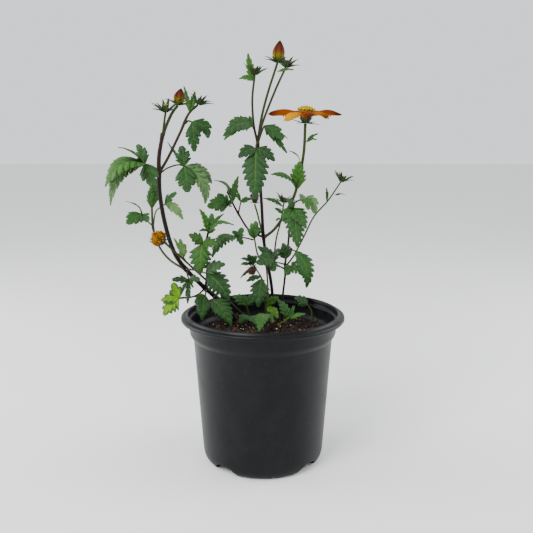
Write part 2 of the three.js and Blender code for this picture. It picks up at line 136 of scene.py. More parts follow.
class Finish(Graph):
    """A material while it is being written."""

    def __init__(self, name):
        self.material = bpy.data.materials.new(name)
        self.material.use_nodes = True
        super().__init__(self.material.node_tree)
        self.shader = self.tree.nodes["Principled BSDF"]
        self.place = self.add("ShaderNodeTexCoord", output="Object")

    def painted(self, name):
        """A number painted on the mesh's points."""
        return self.add("ShaderNodeAttribute", {"attribute_name": name}, output="Fac")

    def pattern(self):
        """The two coordinates that follow a blade's or a tube's surface."""
        uv = self.add("ShaderNodeUVMap", {"uv_map": "pattern"})
        parts = {"Vector": uv}
        return (self.add("ShaderNodeSeparateXYZ", None, parts, "X"),
                self.add("ShaderNodeSeparateXYZ", None, parts, "Y"))

    def noise(self, scale, detail=3, roughness=0.55, vector=None):
        values = {"Vector": vector or self.place, "Scale": scale, "Detail": detail, "Roughness": roughness}
        return self.add("ShaderNodeTexNoise", None, values)

    def streaks(self, stretch, detail=4, roughness=0.6):
        """Noise that is drawn out along the axes with the smaller scales."""
        return self.noise(1, detail, roughness, self.stretched(*stretch))

    def cells(self, scale, feature="DISTANCE_TO_EDGE"):
        values = {"Vector": self.place, "Scale": scale}
        return self.add("ShaderNodeTexVoronoi", {"feature": feature}, values, "Distance")

    def stretched(self, x, y, z):
        return self.add("ShaderNodeMapping", None, {"Vector": self.place, "Scale": (x, y, z)})

    def mix(self, share, first, second):
        colours = [c if isinstance(c, Value) else (*c, 1) for c in (first, second)]
        values = {"Factor": share, "A": colours[0], "B": colours[1]}
        return self.add("ShaderNodeMix", {"data_type": "RGBA"}, values)

    def ramp(self, share, stops):
        return self.add("ShaderNodeValToRGB", {"stops": stops}, {"Fac": share}, "Color")

    def bump(self, height, distance, strength=1.0):
        values = {"Height": height, "Distance": distance, "Strength": strength}
        return self.add("ShaderNodeBump", None, values)

    def done(self, **values):
        """Sets the shader's sockets, named with underscores for spaces."""
        for name, value in values.items():
            self.feed(self.shader.inputs[name.replace("_", " ").title().replace("Ior", "IOR")], value)
        return self.material


# ---- finishes -----------------------------------------------------------------------------

# Leaf colours, young to old, for the upper side and the underside.
LEAF_AGES = [(0, (0.1, 0.235, 0.004)), (0.3, (0.035, 0.125, 0.005)), (0.6, (0.012, 0.062, 0.006)),
             (1, (0.005, 0.028, 0.006))]
UNDER_AGES = [(0, (0.12, 0.24, 0.03)), (0.5, (0.06, 0.14, 0.04)), (1, (0.042, 0.092, 0.036))]
STEM_AGES = [(0, (0.07, 0.11, 0.014)), (0.3, (0.022, 0.034, 0.006)), (0.6, (0.02, 0.008, 0.006)),
             (1, (0.004, 0.002, 0.003))]


def vein_masks(g):
    """How far a point is on a side vein, on the midrib, and between two side veins."""
    u, edge = g.pattern()
    beside = ((u - 0.25).fraction() - 0.5).size()
    vein = (1 - beside.smooth(0.02, 0.13)) * (1 - edge.smooth(0.6, 1.0) * 0.7)
    midrib = 1 - edge.smooth(0.02, 0.12)
    return vein, midrib, beside, edge


def leaf_upper():
    g = Finish("leaf upper side")
    vein, midrib, beside, edge = vein_masks(g)
    age, chance = g.painted("age"), g.painted("chance")
    net = g.cells(1500)
    base = g.ramp(age + (g.noise(90) - 0.5) * 0.35 + (chance - 0.5) * 0.25, LEAF_AGES)
    sheen = g.mix(g.noise(260, 4) * 0.25, base, (0.02, 0.06, 0.03))
    netted = g.mix((1 - net.smooth(0, 0.12)) * 0.2, sheen, (0.035, 0.1, 0.012))
    ribbed = g.mix(g.painted("bright") * vein * 0.35 + vein * 0.2, netted, (0.075, 0.17, 0.022))
    lit = g.mix(midrib * 0.5, ribbed, (0.08, 0.15, 0.02))
    sunny = g.mix(g.painted("bright") * (1 - edge.smooth(0.25, 0.95)) * 0.75, lit, (0.16, 0.34, 0.001))
    rimmed = g.mix(edge.smooth(0.86, 1.0) * 0.3, sunny, (0.012, 0.03, 0.008))
    height = beside * 1.4 - vein * 0.5 - midrib * 0.9 + net.smooth(0, 0.2) * 0.18 + g.noise(700) * 0.3
    return g.done(base_color=rimmed, roughness=0.42 + g.noise(300) * 0.22, specular_ior_level=0.22,
                  normal=g.bump(height, 0.0005, 0.75))


def leaf_under():
    g = Finish("leaf underside")
    vein, midrib, _, edge = vein_masks(g)
    base = g.ramp(g.painted("age") + (g.noise(90) - 0.5) * 0.3, UNDER_AGES)
    netted = g.mix((1 - g.cells(1500).smooth(0, 0.12)) * 0.3, base, (0.12, 0.2, 0.07))
    ribbed = g.mix(vein * 0.5 + midrib * 0.4, netted, (0.14, 0.22, 0.07))
    height = vein * 0.6 + midrib + g.noise(700) * 0.25
    return g.done(base_color=ribbed, roughness=0.6 + edge * 0.1, specular_ior_level=0.25,
                  normal=g.bump(height, 0.0005, 0.8))


def stem_skin():
    g = Finish("stem skin")
    _, around = g.pattern()
    age, chance = g.painted("age"), g.painted("chance")
    streaks = g.streaks((900, 900, 60))
    base = g.ramp(age + (streaks - 0.5) * 0.3 + (chance - 0.5) * 0.1, STEM_AGES)
    lines = ((around * 8).fraction() - 0.5).size()
    lined = g.mix(lines.smooth(0.3, 0.5) * (1 - age * 0.75) * 0.18, base, (0.07, 0.08, 0.02))
    specks = g.cells(1100, "F1").smooth(0.1, 0.2)
    dusty = g.mix((1 - specks) * 0.1, lined, (0.1, 0.08, 0.045))
    height = lines * 0.8 + streaks * 0.5
    return g.done(base_color=dusty, roughness=0.42 + streaks * 0.3, specular_ior_level=0.12,
                  normal=g.bump(height, 0.0003, 0.5))


def bract_green():
    g = Finish("bract green")
    vein, midrib, beside, edge = vein_masks(g)
    age = g.painted("age")
    base = g.ramp(age + (g.noise(400) - 0.5) * 0.5,
                  [(0, (0.05, 0.11, 0.008)), (0.5, (0.011, 0.032, 0.005)), (1, (0.008, 0.009, 0.003))])
    ribbed = g.mix(midrib * 0.35 + vein * 0.1, base, (0.045, 0.075, 0.012))
    height = beside * 0.4 + midrib * 0.6 + g.noise(900) * 0.5
    return g.done(base_color=ribbed, roughness=0.5 + g.noise(500) * 0.2, specular_ior_level=0.3,
                  normal=g.bump(height, 0.0003, 0.7))


def petal_skin():
    """A red ray and a yellow one, each coloured from its foot to its tip; bright picks between them."""
    g = Finish("petal skin")
    along, across = g.pattern()
    yellow, tip = g.painted("bright"), g.painted("age")
    wave = (g.streaks((160, 160, 160)) - 0.5) * 0.5
    flame = g.ramp(along + wave, [(0, (0.08, 0.004, 0.0)), (0.3, (0.2, 0.016, 0.0)),
                                  (0.6, (0.09, 0.004, 0.0)), (0.95, (0.04, 0.001, 0.0))])
    sun = g.ramp(along + wave, [(0, (0.3, 0.03, 0.0)), (0.3, (0.5, 0.19, 0.0)), (0.9, (0.56, 0.27, 0.0))])
    base = g.mix(yellow, flame, sun)
    edged = g.mix(across.smooth(0.72, 1.0) * 0.4, base, (0.45, 0.09, 0.0))
    scorched = g.mix(along.smooth(0.6, 0.95) * tip, edged, (0.035, 0.001, 0.001))
    ribs = ((across * 5 + 0.5).fraction() - 0.5).size()
    ribbed = g.mix((1 - ribs.smooth(0.0, 0.25)) * 0.5, scorched, (0.1, 0.008, 0.0))
    freckled = g.mix(g.streaks((700, 700, 700), 3).smooth(0.58, 0.7) * 0.3, ribbed,
                     (0.17, 0.015, 0.0))
    height = ribs * 1.2 + g.noise(900) * 0.4
    return g.done(base_color=freckled, roughness=0.55 + ribs * 0.2, specular_ior_level=0.04,
                  normal=g.bump(height, 0.0004, 0.7))


def floret_yellow():
    g = Finish("floret yellow")
    along, chance = g.painted("along"), g.painted("chance")
    base = g.ramp(along + (g.noise(900) - 0.5) * 0.3,
                  [(0, (0.09, 0.05, 0.0)), (0.5, (0.27, 0.15, 0.0)), (1, (0.42, 0.28, 0.0))])
    varied = g.mix(chance * 0.5, base, (0.2, 0.06, 0.0))
    return g.done(base_color=varied, roughness=0.65 + g.noise(900) * 0.15, specular_ior_level=0.25,
                  normal=g.bump(g.noise(1500), 0.0002, 0.5))


def withered():
    g = Finish("withered petals")
    along, chance = g.painted("along"), g.painted("chance")
    base = g.ramp(along + (g.noise(500) - 0.5) * 0.6 + (chance - 0.5) * 0.5,
                  [(0, (0.035, 0.012, 0.001)), (0.3, (0.17, 0.065, 0.001)), (0.6, (0.42, 0.19, 0.001)),
                   (1, (0.3, 0.09, 0.001))])
    return g.done(base_color=base, specular_ior_level=0.25, roughness=0.7 + g.noise(500) * 0.2,
                  normal=g.bump(g.streaks((1200, 1200, 300)), 0.0004, 0.9))


def dried():
    g = Finish("dried bracts")
    along, chance = g.painted("along"), g.painted("chance")
    base = g.ramp(along * 0.7 + (g.noise(600) - 0.5) * 0.6 + chance * 0.35,
                  [(0, (0.02, 0.008, 0.004)), (0.5, (0.08, 0.035, 0.018)), (1, (0.22, 0.12, 0.07))])
    return g.done(base_color=base, roughness=0.75 + g.noise(600) * 0.15,
                  normal=g.bump(g.streaks((1300, 1300, 400)), 0.0004, 0.9))


def bud_flame():
    g = Finish("furled rays")
    along, around = g.pattern()
    base = g.ramp(along + (g.streaks((600, 600, 200)) - 0.5) * 0.45,
                  [(0, (0.03, 0.05, 0.001)), (0.32, (0.13, 0.1, 0.001)), (0.5, (0.09, 0.016, 0.002)),
                   (1, (0.022, 0.002, 0.002))])
    seams = ((around * 6).fraction() - 0.5).size()
    seamed = g.mix(seams.smooth(0.36, 0.5) * 0.7, base, (0.02, 0.003, 0.003))
    height = g.streaks((1400, 1400, 200), 3) * 0.6 - seams.smooth(0.38, 0.5)
    return g.done(base_color=seamed, roughness=0.5 + seams * 0.3, specular_ior_level=0.08,
                  normal=g.bump(height, 0.0004, 0.8))


def black_plastic():
    g = Finish("black nursery plastic")
    wear = g.noise(60, 5, 0.65)
    rings = g.streaks((12, 12, 1500), 3)
    scuffs = g.streaks((420, 420, 90), roughness=0.7).smooth(0.6, 0.78)
    base = g.mix(wear.smooth(0.35, 0.7), (0.0018, 0.0022, 0.0027), (0.0045, 0.005, 0.0057))
    dusty = g.mix(scuffs * 0.22, base, (0.03, 0.03, 0.03))
    spots = (1 - g.cells(150, "F1").smooth(0.1, 0.24)) * g.noise(35).smooth(0.5, 0.6)
    flecks = (1 - g.cells(420, "F1").smooth(0.05, 0.12)) * g.noise(45, 2).smooth(0.56, 0.64)
    spotted = g.mix(spots * 0.8, dusty, (0.0008, 0.0009, 0.001))
    marked = g.mix(flecks * 0.6, spotted, (0.09, 0.088, 0.08))
    splashes = g.noise(500, 3).smooth(0.66, 0.74) * g.painted("age")
    soiled = g.mix(splashes * 0.7, marked, (0.02, 0.011, 0.006))
    height = rings * 0.5 + wear * 0.4 + g.noise(1100) * 0.35
    return g.done(base_color=soiled, roughness=0.3 + wear * 0.22 + scuffs * 0.2, specular_ior_level=0.16,
                  normal=g.bump(height, 0.0003, 0.35))


def earth():
    g = Finish("damp compost")
    lumps, fine = g.noise(180, 6, 0.7), g.noise(900, 4, 0.7)
    base = g.ramp(lumps * 0.6 + fine * 0.4, [
        (0.25, (0.003, 0.002, 0.0015)), (0.5, (0.01, 0.006, 0.004)), (0.7, (0.03, 0.016, 0.009))])
    return g.done(base_color=base, roughness=0.75 + fine * 0.2, specular_ior_level=0.25,
                  normal=g.bump(lumps + fine, 0.002))


def crumb(name, stops, roughness, scale):
    """Loose matter on the soil, coloured crumb by crumb from the stops."""
    g = Finish(name)
    grain = g.streaks((scale, scale, scale * 0.4), 5, 0.7)
    base = g.ramp(grain * 0.7 + g.painted("chance") * 0.5 - 0.1, stops)
    return g.done(base_color=base, roughness=roughness + grain * 0.12, specular_ior_level=0.25,
                  normal=g.bump(grain, 0.0008, 0.9))


UPPER, UNDER, STEM, BRACT = leaf_upper(), leaf_under(), stem_skin(), bract_green()
PETAL, FLORET, WITHERED, DRIED, FURLED = petal_skin(), floret_yellow(), withered(), dried(), bud_flame()
PLASTIC, EARTH = black_plastic(), earth()
BARK = crumb("bark chips", [
    (0, (0.005, 0.003, 0.002)), (0.55, (0.018, 0.008, 0.004)), (0.8, (0.07, 0.027, 0.011)),
    (1, (0.2, 0.1, 0.04))], 0.7, 500)
STRAW = crumb("straw chips", [
    (0, (0.06, 0.035, 0.014)), (0.5, (0.22, 0.13, 0.045)), (1, (0.5, 0.38, 0.17))], 0.75, 500)
PERLITE = crumb("perlite", [
    (0, (0.4, 0.37, 0.32)), (0.6, (0.72, 0.7, 0.66)), (1, (0.85, 0.84, 0.8))], 0.8, 900)
CLOD = crumb("clods", [
    (0, (0.003, 0.002, 0.0015)), (0.5, (0.012, 0.007, 0.0045)), (1, (0.045, 0.024, 0.013))], 0.8, 700)

# ---- the plant's rows ---------------------------------------------------------------------

# Each stem: its radius and the points it passes. Each young tip: base, tip, half-width, bow, facing.
SHOOTS = {
    "left_shoot": {
        "stems": [
            [1.7, [[-23, 30, 92], [-23, 30, 105], [-34, 24, 123], [-47, 16, 137], [-61, 5, 155],
                [-69, -5, 171], [-74, -13, 193], [-77, -16, 216], [-77, -18, 234]]],
            [1.5, [[-77, -18, 233], [-76, -22, 246], [-72, -28, 262]]],
            [0.8, [[-72, -28, 261], [-70, -31, 272], [-69, -32, 277]]],
            [1.1, [[-72, -28, 261], [-69, -26, 269], [-65, -25, 277], [-61, -25, 282]]],
            [1, [[-77, -18, 233], [-71, -10, 244], [-63, 2, 262], [-57, 8, 276], [-50, 11, 283]]],
            [0.9, [[-47, 16, 137], [-44, 2, 155], [-43, -15, 178], [-40, -24, 193]]],
            [0.7, [[-47, 16, 137], [-52, 3, 135], [-57, -6, 135], [-63, -12, 136]]],
            [1, [[-62, 5, 155], [-76, 20, 160], [-86, 32, 169], [-92, 41, 183], [-93, 44, 201]]],
            [0.6, [[-92, 41, 183], [-91, 50, 195], [-87, 56, 199]]],
        ],
        "tips": [[[-56, 8, 277], [-60, 8, 297], 1.5, 1, "front"], [[-55, 8, 279],
            [-52, 14, 293], 2, 1, "front"], [[-41, -22, 188], [-46, -34, 208], 2, 2, "front"],
            [[-40, -24, 190], [-29, -22, 203], 1.5, 2, "front"], [[-40, -24, 190],
            [-21, -31, 196], 3.5, 5, "up"], [[-40, -24, 190], [-38, -19, 203], 3.5, 1, "front"],
            [[-41, -22, 188], [-47, -28, 191], 1.5, 2, "up"], [[-40, -22, 188],
            [-36, -13, 190], 1.5, 1, "up"], [[-92, 44, 200], [-87, 44, 225], 3, 2, "front"],
            [[-93, 44, 199], [-90, 35, 220], 2.5, 2, "front"], [[-92, 44, 202],
            [-88, 50, 214], 2.5, 1, "front"]],
    },
    "middle_shoot": {
        "stems": [
            [1.3, [[9, 36, 92], [9, 36, 105], [7, 34, 136], [1, 29, 172], [-1, 23, 204], [-3, 17, 237],
                [-4, 14, 256]]],
            [0.9, [[-4, 14, 254], [-7, 14, 268], [-8, 11, 287], [-6, 8, 305]]],
            [1, [[-4, 14, 254], [-1, 8, 273], [4, 2, 292], [11, -4, 313]]],
            [0.9, [[-4, 14, 254], [0, 20, 270], [10, 26, 295], [18, 29, 312]]],
            [1.2, [[1, 29, 177], [10, 14, 187], [19, -4, 204], [25, -16, 220], [30, -22, 246],
                [31, -25, 269]]],
            [0.9, [[1, 29, 177], [-11, 38, 181], [-21, 50, 194], [-29, 58, 208]]],
            [0.6, [[-21, 50, 194], [-19, 56, 203]]],
            [0.7, [[4, 31, 151], [-4, 28, 162], [-7, 29, 176]]],
        ],
        "tips": [[[-29, 58, 208], [-42, 50, 222], 3.5, 5, "up"], [[-26, 55, 203],
            [-21, 59, 225], 2.5, 2, "front"], [[-19, 56, 203], [-22, 53, 214], 1, 0, "front"],
            [[-19, 56, 203], [-25, 50, 211], 1, 1, "front"], [[-19, 56, 203],
            [-10, 53, 206], 2, 1, "front"], [[25, -16, 221], [6, -31, 233], 3.5, 5, "up"],
            [[26, -16, 221], [27, -28, 242], 4.5, 1, "front"], [[28, -22, 238],
            [19, -31, 250], 1, 3, "up"], [[32, -24, 256], [40, -28, 262], 1, 1, "front"], [[32, -24, 256],
            [39, -31, 258], 1, 1, "front"], [[-7, 29, 176], [-5, 23, 191], 4.5, 1, "front"],
            [[-7, 29, 176], [-2, 20, 185], 1.5, 1, "front"], [[-7, 8, 301],
            [-11, 8, 321], 2.5, -1, "front"], [[-7, 8, 301], [-18, 2, 302], 2, 2, "front"],
            [[11, -1, 307], [23, -7, 308], 1, 1, "front"]],
    },
    "right_shoot": {
        "stems": [
            [0.9, [[16, 22, 92], [16, 22, 104], [16, 20, 126], [18, 15, 148], [18, 15, 158], [20, 8, 174],
                [21, 5, 190]]],
            [0.7, [[18, 15, 155], [25, 17, 164], [33, 23, 178], [42, 32, 194], [54, 41, 206],
                [65, 47, 221]]],
            [0.7, [[18, 15, 153], [10, 28, 157], [11, 50, 171], [15, 62, 185], [18, 68, 201]]],
        ],
        "tips": [[[17, 66, 198], [0, 59, 206], 1.5, 2, "front"], [[16, 65, 192],
            [10, 62, 197], 1.5, 1, "front"], [[15, 62, 188], [11, 56, 187], 1, 1, "front"],
            [[53, 41, 205], [52, 35, 217], 1, 1, "front"], [[60, 46, 210], [69, 50, 210], 1, 1, "up"]],
    },
    "slender_shoot": {
        "stems": [[0.8, [[3, 42, 92], [3, 42, 104], [4, 45, 133], [0, 50, 171], [-4, 44, 192],
            [-7, 41, 203]]]],
        "tips": [],
    },
    "short_shoot": {
        "stems": [[0.6, [[2, 24, 92], [2, 24, 105], [2, 20, 135], [-1, 13, 146], [-5, 9, 154],
            [-8, 4, 160]]]],
        "tips": [[[-8, 4, 159], [-12, -2, 168], 2.5, 1, "front"], [[-8, 4, 159],
            [-17, -7, 166], 2.5, 2, "up"], [[-8, 4, 159], [-17, -9, 162], 2, 1, "up"], [[-8, 4, 159],
            [-5, 6, 166], 2, 1, "front"], [[-1, 13, 148], [-13, 2, 146], 2.5, 1, "up"], [[-5, 10, 154],
            [-18, -1, 149], 1.5, 3, "up"]],
    },
    "spent_flower_stalk": {
        "stems": [[0.8, [[-10, 26, 92], [-11, 26, 105], [-27, 14, 126], [-44, -1, 147], [-56, -13, 162],
            [-67, -22, 175], [-73, -30, 183]]]],
        "tips": [],
    },
    "seedling": {
        "stems": [[0.6, [[13, 10, 92], [13, 10, 107], [18, 8, 112], [22, 5, 116]]]],
        "tips": [[[22, 5, 115], [34, 0, 120], 2.5, 1, "up"], [[22, 5, 115],
            [25, 6, 125], 1.5, 0, "front"], [[20, 7, 114], [12, 14, 128], 3, 3, "front"]],
    },
}

# Each leaf: its stalk from the stem outwards, then its leaflets as tip, half-width, bow and facing.
LEAVES = {
    "upper_left_leaf": [[[-76, -19, 233], [-83, -24, 239], [-86, -26, 240]],
        [[[-101, -46, 253], 4, 3, "up"], [[-92, -22, 254], 3, 2, "front"], [[-110, -52, 226], 7, 9, "up"],
        [[-108, -46, 212], 3.5, 12, "back"], [[-79, -37, 225], 4.5, 2, "front"]]],
    "upper_right_leaf": [[[-76, -14, 233], [-72, -7, 236], [-65, -1, 238], [-60, -1, 237]],
        [[[-63, 8, 252], 4.5, 0, "front"], [[-74, 11, 255], 1, 0, "front"],
        [[-57, -10, 218], 6, 2, "front"], [[-45, 2, 208], 4, 8, "back"],
        [[-40, 8, 223], 2.5, 5, "back"]]],
    "bud_stalk_leaf": [[[-59, 5, 269], [-57, 6, 271], [-54, 6, 270]], [[[-52, -1, 248], 4, 2, "front"],
        [[-43, 11, 258], 4, 4, "front"]]],
    "crown_left_leaf": [[[-4, 11, 256], [-6, 10, 263], [-8, 8, 267]], [[[-17, 8, 272], 3, 1, "front"],
        [[-25, -4, 270], 3, 2, "front"], [[-29, -16, 260], 3.5, 5, "front"],
        [[-29, -7, 257], 3.5, 4, "up"]]],
    "crown_right_leaf": [[[-3, 17, 256], [-1, 20, 262], [1, 23, 267]], [[[20, 35, 257], 4, 1.5, "up"],
        [[16, 14, 257], 4, 1, "front"], [[19, 20, 246], 2, 1, "front"]]],
    "hanging_leaf": [[[-4, 8, 255], [-5, -1, 253], [-5, -6, 250]], [[[-18, -10, 244], 4.5, 2, "front"],
        [[9, -4, 241], 4.5, 2, "front"], [[-6, -13, 213], 8.5, 3, "front"]]],
    "right_arching_leaf": [[[23, -8, 209], [28, -10, 212], [31, -13, 213]],
        [[[39, -19, 203], 4, 5, "back"], [[29, -4, 216], 2, 0, "back"], [[34, -28, 207], 3.5, 3, "up"]]],
    "right_hanging_leaf": [[[23, -6, 207], [23, -14, 206]], [[[18, -22, 213], 3, 1, "front"],
        [[32, -28, 193], 4.5, 2, "front"], [[26, -23, 178], 5.5, 2, "front"],
        [[16, -16, 196], 3.5, 2, "front"]]],
    "lower_right_leaf": [[[21, 8, 173], [23, 0, 172], [25, -5, 172]], [[[34, -7, 143], 5.5, 8, "front"]]],
    "lower_right_small_leaf": [[[19, 10, 158], [23, 2, 158]], [[[33, -3, 152], 3, 2, "front"],
        [[27, 4, 162], 2, 1, "up"], [[18, -5, 153], 3, 1, "front"]]],
    "grey_leaf": [[[18, 12, 159], [18, 4, 164]], [[[15, -3, 177], 4.5, 1, "front"],
        [[11, 9, 171], 2.5, 1, "front"]]],
    "dark_leaf": [[[17, 17, 157], [13, 12, 159], [9, 7, 161]], [[[-4, -9, 162], 5.5, 3, "front"],
        [[8, -2, 155], 3, 1, "front"], [[-4, 3, 174], 3, 1, "front"], [[1, 14, 172], 2.5, 1, "front"],
        [[11, 23, 168], 2.5, 1, "up"]]],
    "front_hanging_leaf": [[[1, 13, 144], [-1, 6, 147]], [[[-4, -2, 126], 6.5, 3, "front"]]],
    "dark_side_leaf": [[[-60, -3, 157], [-52, -12, 158], [-43, -19, 157]],
        [[[-28, -29, 166], 4.5, 2, "front"], [[-26, -20, 136], 7, 3, "front"],
        [[-36, -19, 144], 3, 1, "front"]]],
    "arching_leaf": [[[-8, 23, 176], [-14, 14, 179], [-20, 5, 181]], [[[-39, -12, 168], 5.5, 9, "up"],
        [[-16, 8, 188], 3, 0, "front"], [[-24, 2, 186], 2, 1, "front"],
        [[-16, 0, 176], 2.5, 1, "front"]]],
    "three_part_leaf": [[[-42, -18, 183], [-45, -26, 181]], [[[-54, -34, 189], 4, 1, "front"],
        [[-33, -33, 182], 4, 1, "front"], [[-47, -26, 158], 7, 3, "front"]]],
    "left_branch_leaf": [[[-27, 52, 200], [-29, 44, 202]], [[[-38, 41, 211], 3.5, 1, "front"],
        [[-45, 29, 202], 6, 2, "front"], [[-25, 35, 205], 3, 1, "front"]]],
    "grey_green_leaf": [[[-60, 0, 154], [-57, -13, 150]], [[[-69, -20, 152], 2.5, 1, "front"],
        [[-48, -20, 152], 3, 1, "front"], [[-58, -18, 133], 2, 1, "front"],
        [[-63, -18, 141], 1.5, 1, "front"], [[-53, -20, 146], 1, 0, "front"]]],
    "yellow_green_leaf": [[[-63, -12, 136], [-65, -14, 136]], [[[-69, -17, 149], 4.5, 0, "front"],
        [[-76, -20, 124], 5.5, 2, "front"], [[-78, -20, 136], 4, 1, "front"]]],
    "rim_leaf": [[[-46, 11, 137], [-46, 3, 134]], [[[-54, -2, 129], 4, 1, "front"],
        [[-48, -8, 117], 5, 3, "front"]]],
    "long_tip_leaf": [[[-40, 18, 130], [-41, 8, 129]], [[[-25, -6, 112], 6.5, 4, "front"]]],
    "soil_leaf": [[[4, 16, 117], [2, 6, 118]], [[[-3, -20, 111], 5, 4, "up"],
        [[8, -8, 115], 3.5, 2, "up"]]],
    "back_rim_leaf": [[[42, 33, 106], [41, 36, 113], [38, 39, 117]], [[[27, 48, 121], 2.5, 2, "front"],
        [[30, 46, 115], 1.5, 1, "front"]]],
    "inner_right_leaf": [[[3, 26, 114], [4, 22, 120]], [[[13, 22, 128], 3, 2, "front"],
        [[12, 12, 113], 4, 2, "up"]]],
    "inner_left_leaf": [[[-11, 36, 106], [-14, 36, 117]], [[[-26, 39, 125], 4, 2, "front"],
        [[-9, 41, 125], 4, 1, "front"]]],
    "inner_low_leaf": [[[-6, 28, 106], [-11, 20, 112]], [[[-19, 8, 110], 4, 3, "up"],
        [[-5, 4, 110], 4, 3, "up"]]],
    "side_shoot_left_leaf": [[[-92, 40, 185], [-95, 32, 190], [-98, 27, 196]],
        [[[-109, 16, 208], 2.5, 3, "up"], [[-107, 8, 191], 5, 2, "front"],
        [[-92, 16, 192], 3, 1, "front"]]],
    "side_shoot_right_leaf": [[[-87, 56, 199], [-84, 59, 201]], [[[-74, 59, 211], 3, 1, "front"],
        [[-68, 50, 189], 3.5, 4, "back"]]],
    "feather_leaf": [[[-60, -4, 163], [-62, -2, 166]], [[[-70, 2, 181], 1, 1, "back"],
        [[-65, 2, 180], 1.5, 1, "back"], [[-61, 2, 176], 1.5, 1, "back"],
        [[-66, 1, 169], 1.5, 1, "back"]]],
}

BUDS = {
    "left_round_bud": [[-69, -32.2, 277.5], [0.1, -0.3, 1], 2.6, 7],
    "left_red_bud": [[-61, -25, 282.4], [0.25, -0.1, 1], 4, 12],
    "left_spiky_bud": [[-49.5, 11.2, 283.4], [0.4, 0.1, 1], 2.8, 6],
    "top_left_bud": [[-6, 8, 305.4], [0.1, -0.1, 1], 2.8, 6],
    "top_red_bud": [[11, -4, 313.4], [0.12, -0.08, 1], 4.3, 16],
    "top_right_bud": [[18, 29, 312.4], [0.2, 0.1, 1], 3, 6.5],
    "far_right_bud": [[65.2, 47, 221.4], [0.4, 0.2, 1], 3, 5.5],
    "low_spiky_bud": [[18, 68, 201.4], [0.1, 0.1, 1], 3, 5.5],
}

# The open flower's foot, its tilt, and its rays as compass turn, length, half-width and droop.
FLOWER = [[31.1, -25, 269.4], [0.06, -0.02, 1]]
RAYS = [
    [-6, 26, 4, 2.2], [-48, 23, 4.5, 5.5], [-88, 20, 6, 5], [-132, 24, 4.5, 8], [176, 28, 4.5, 1.6],
    [132, 24, 5.5, 3], [88, 23, 5.5, 3], [40, 25, 5, 3],
]

# The finished flowers: where each one's foot is, and its tilt.
HEADS = {
    "spent_head": [[-72.8, -31.4, 183.6], [-6, -6, 5]],
    "fading_head": [[-6.8, 41, 204], [0, 0.1, 1]],
    "dried_head": [[-8, 3, 157], [-0.2, -0.9, -0.6]],
}

# ---- meshes -------------------------------------------------------------------------------

PAINTED = ("age", "chance", "along", "bright")
WELD, SLIVER = 0.004 * MM, 0.002 * MM


def polar(radius, angle, height=0.0):
    return Vector((radius * math.cos(angle), radius * math.sin(angle), height))


class Surface:
    """The points, faces and painted numbers of one piece, in millimetres, while it is gathered."""

    def __init__(self):
        self.points, self.faces, self.pattern = [], [], []
        self.painted = {name: [] for name in PAINTED}

    def point(self, place, pattern, paint):
        self.points.append(place)
        self.pattern.append(pattern)
        for name in PAINTED:
            self.painted[name].append(paint.get(name, 0.0))
        return len(self.points) - 1

    def finished(self, name, materials):
        """The piece as a closed, smooth mesh object with its faces outwards."""
        mesh = bpy.data.meshes.new(name)
        mesh.from_pydata([p * MM for p in self.points], [], [corners for corners, _ in self.faces])
        mesh.polygons.foreach_set("material_index", [material for _, material in self.faces])
        for key, numbers in self.painted.items():
            mesh.attributes.new(key, "FLOAT", "POINT").data.foreach_set("value", numbers)
        uv = mesh.uv_layers.new(name="pattern")
        for loop in mesh.loops:
            uv.data[loop.index].uv = self.pattern[loop.vertex_index]
        cleaned(mesh)
        for material in materials:
            mesh.materials.append(material)
        return shown(name, mesh)


def smoothed(mesh):
    mesh.polygons.foreach_set("use_smooth", [True] * len(mesh.polygons))


def cleaned(mesh):
    """Merges a mesh's doubled points, drops faces with no area and turns the rest outwards."""
    work = bmesh.new()
    work.from_mesh(mesh)
    bmesh.ops.remove_doubles(work, verts=work.verts, dist=WELD)
    bmesh.ops.dissolve_degenerate(work, edges=work.edges, dist=SLIVER)
    bmesh.ops.recalc_face_normals(work, faces=work.faces)
    work.to_mesh(mesh)
    work.free()
    smoothed(mesh)


def shown(name, mesh):
    thing = bpy.data.objects.new(name, mesh)
    bpy.context.scene.collection.objects.link(thing)
    return thing


def stitch(surface, rows, material=0, closed=False):
    """Joins rows of point numbers into faces. A closed row meets its own start."""
    for low, high in zip(rows, rows[1:]):
        count = len(low)
        for j in range(count if closed else count - 1):
            k = (j + 1) % count
            surface.faces.append(((low[j], low[k], high[k], high[j]), material))


def flattened(direction, along):
    """A direction with what lies along another one taken out."""
    along = along.normalized()
    return (direction - along * direction.dot(along)).normalized()


def capped(surface, rows, material=0):
    """Joins rings of point numbers into a closed tube with flat ends."""
    stitch(surface, rows, material, closed=True)
    surface.faces += [(tuple(reversed(rows[0])), material), (tuple(rows[-1]), material)]


# ---- tubes --------------------------------------------------------------------------------

ROUTE_STEPS = 6


def route(points):
    """A smooth line through the points."""
    points = [Vector(p) for p in points]
    ends = [points[0] * 2 - points[1], *points, points[-1] * 2 - points[-2]]
    line = []
    for a, b, c, d in zip(ends, ends[1:], ends[2:], ends[3:]):
        for step in range(ROUTE_STEPS):
            t = step / ROUTE_STEPS
            line.append(0.5 * (2 * b + (c - a) * t + (2 * a - 5 * b + 4 * c - d) * t ** 2
                               + (3 * b - a - 3 * c + d) * t ** 3))
    return [*line, points[-1]]


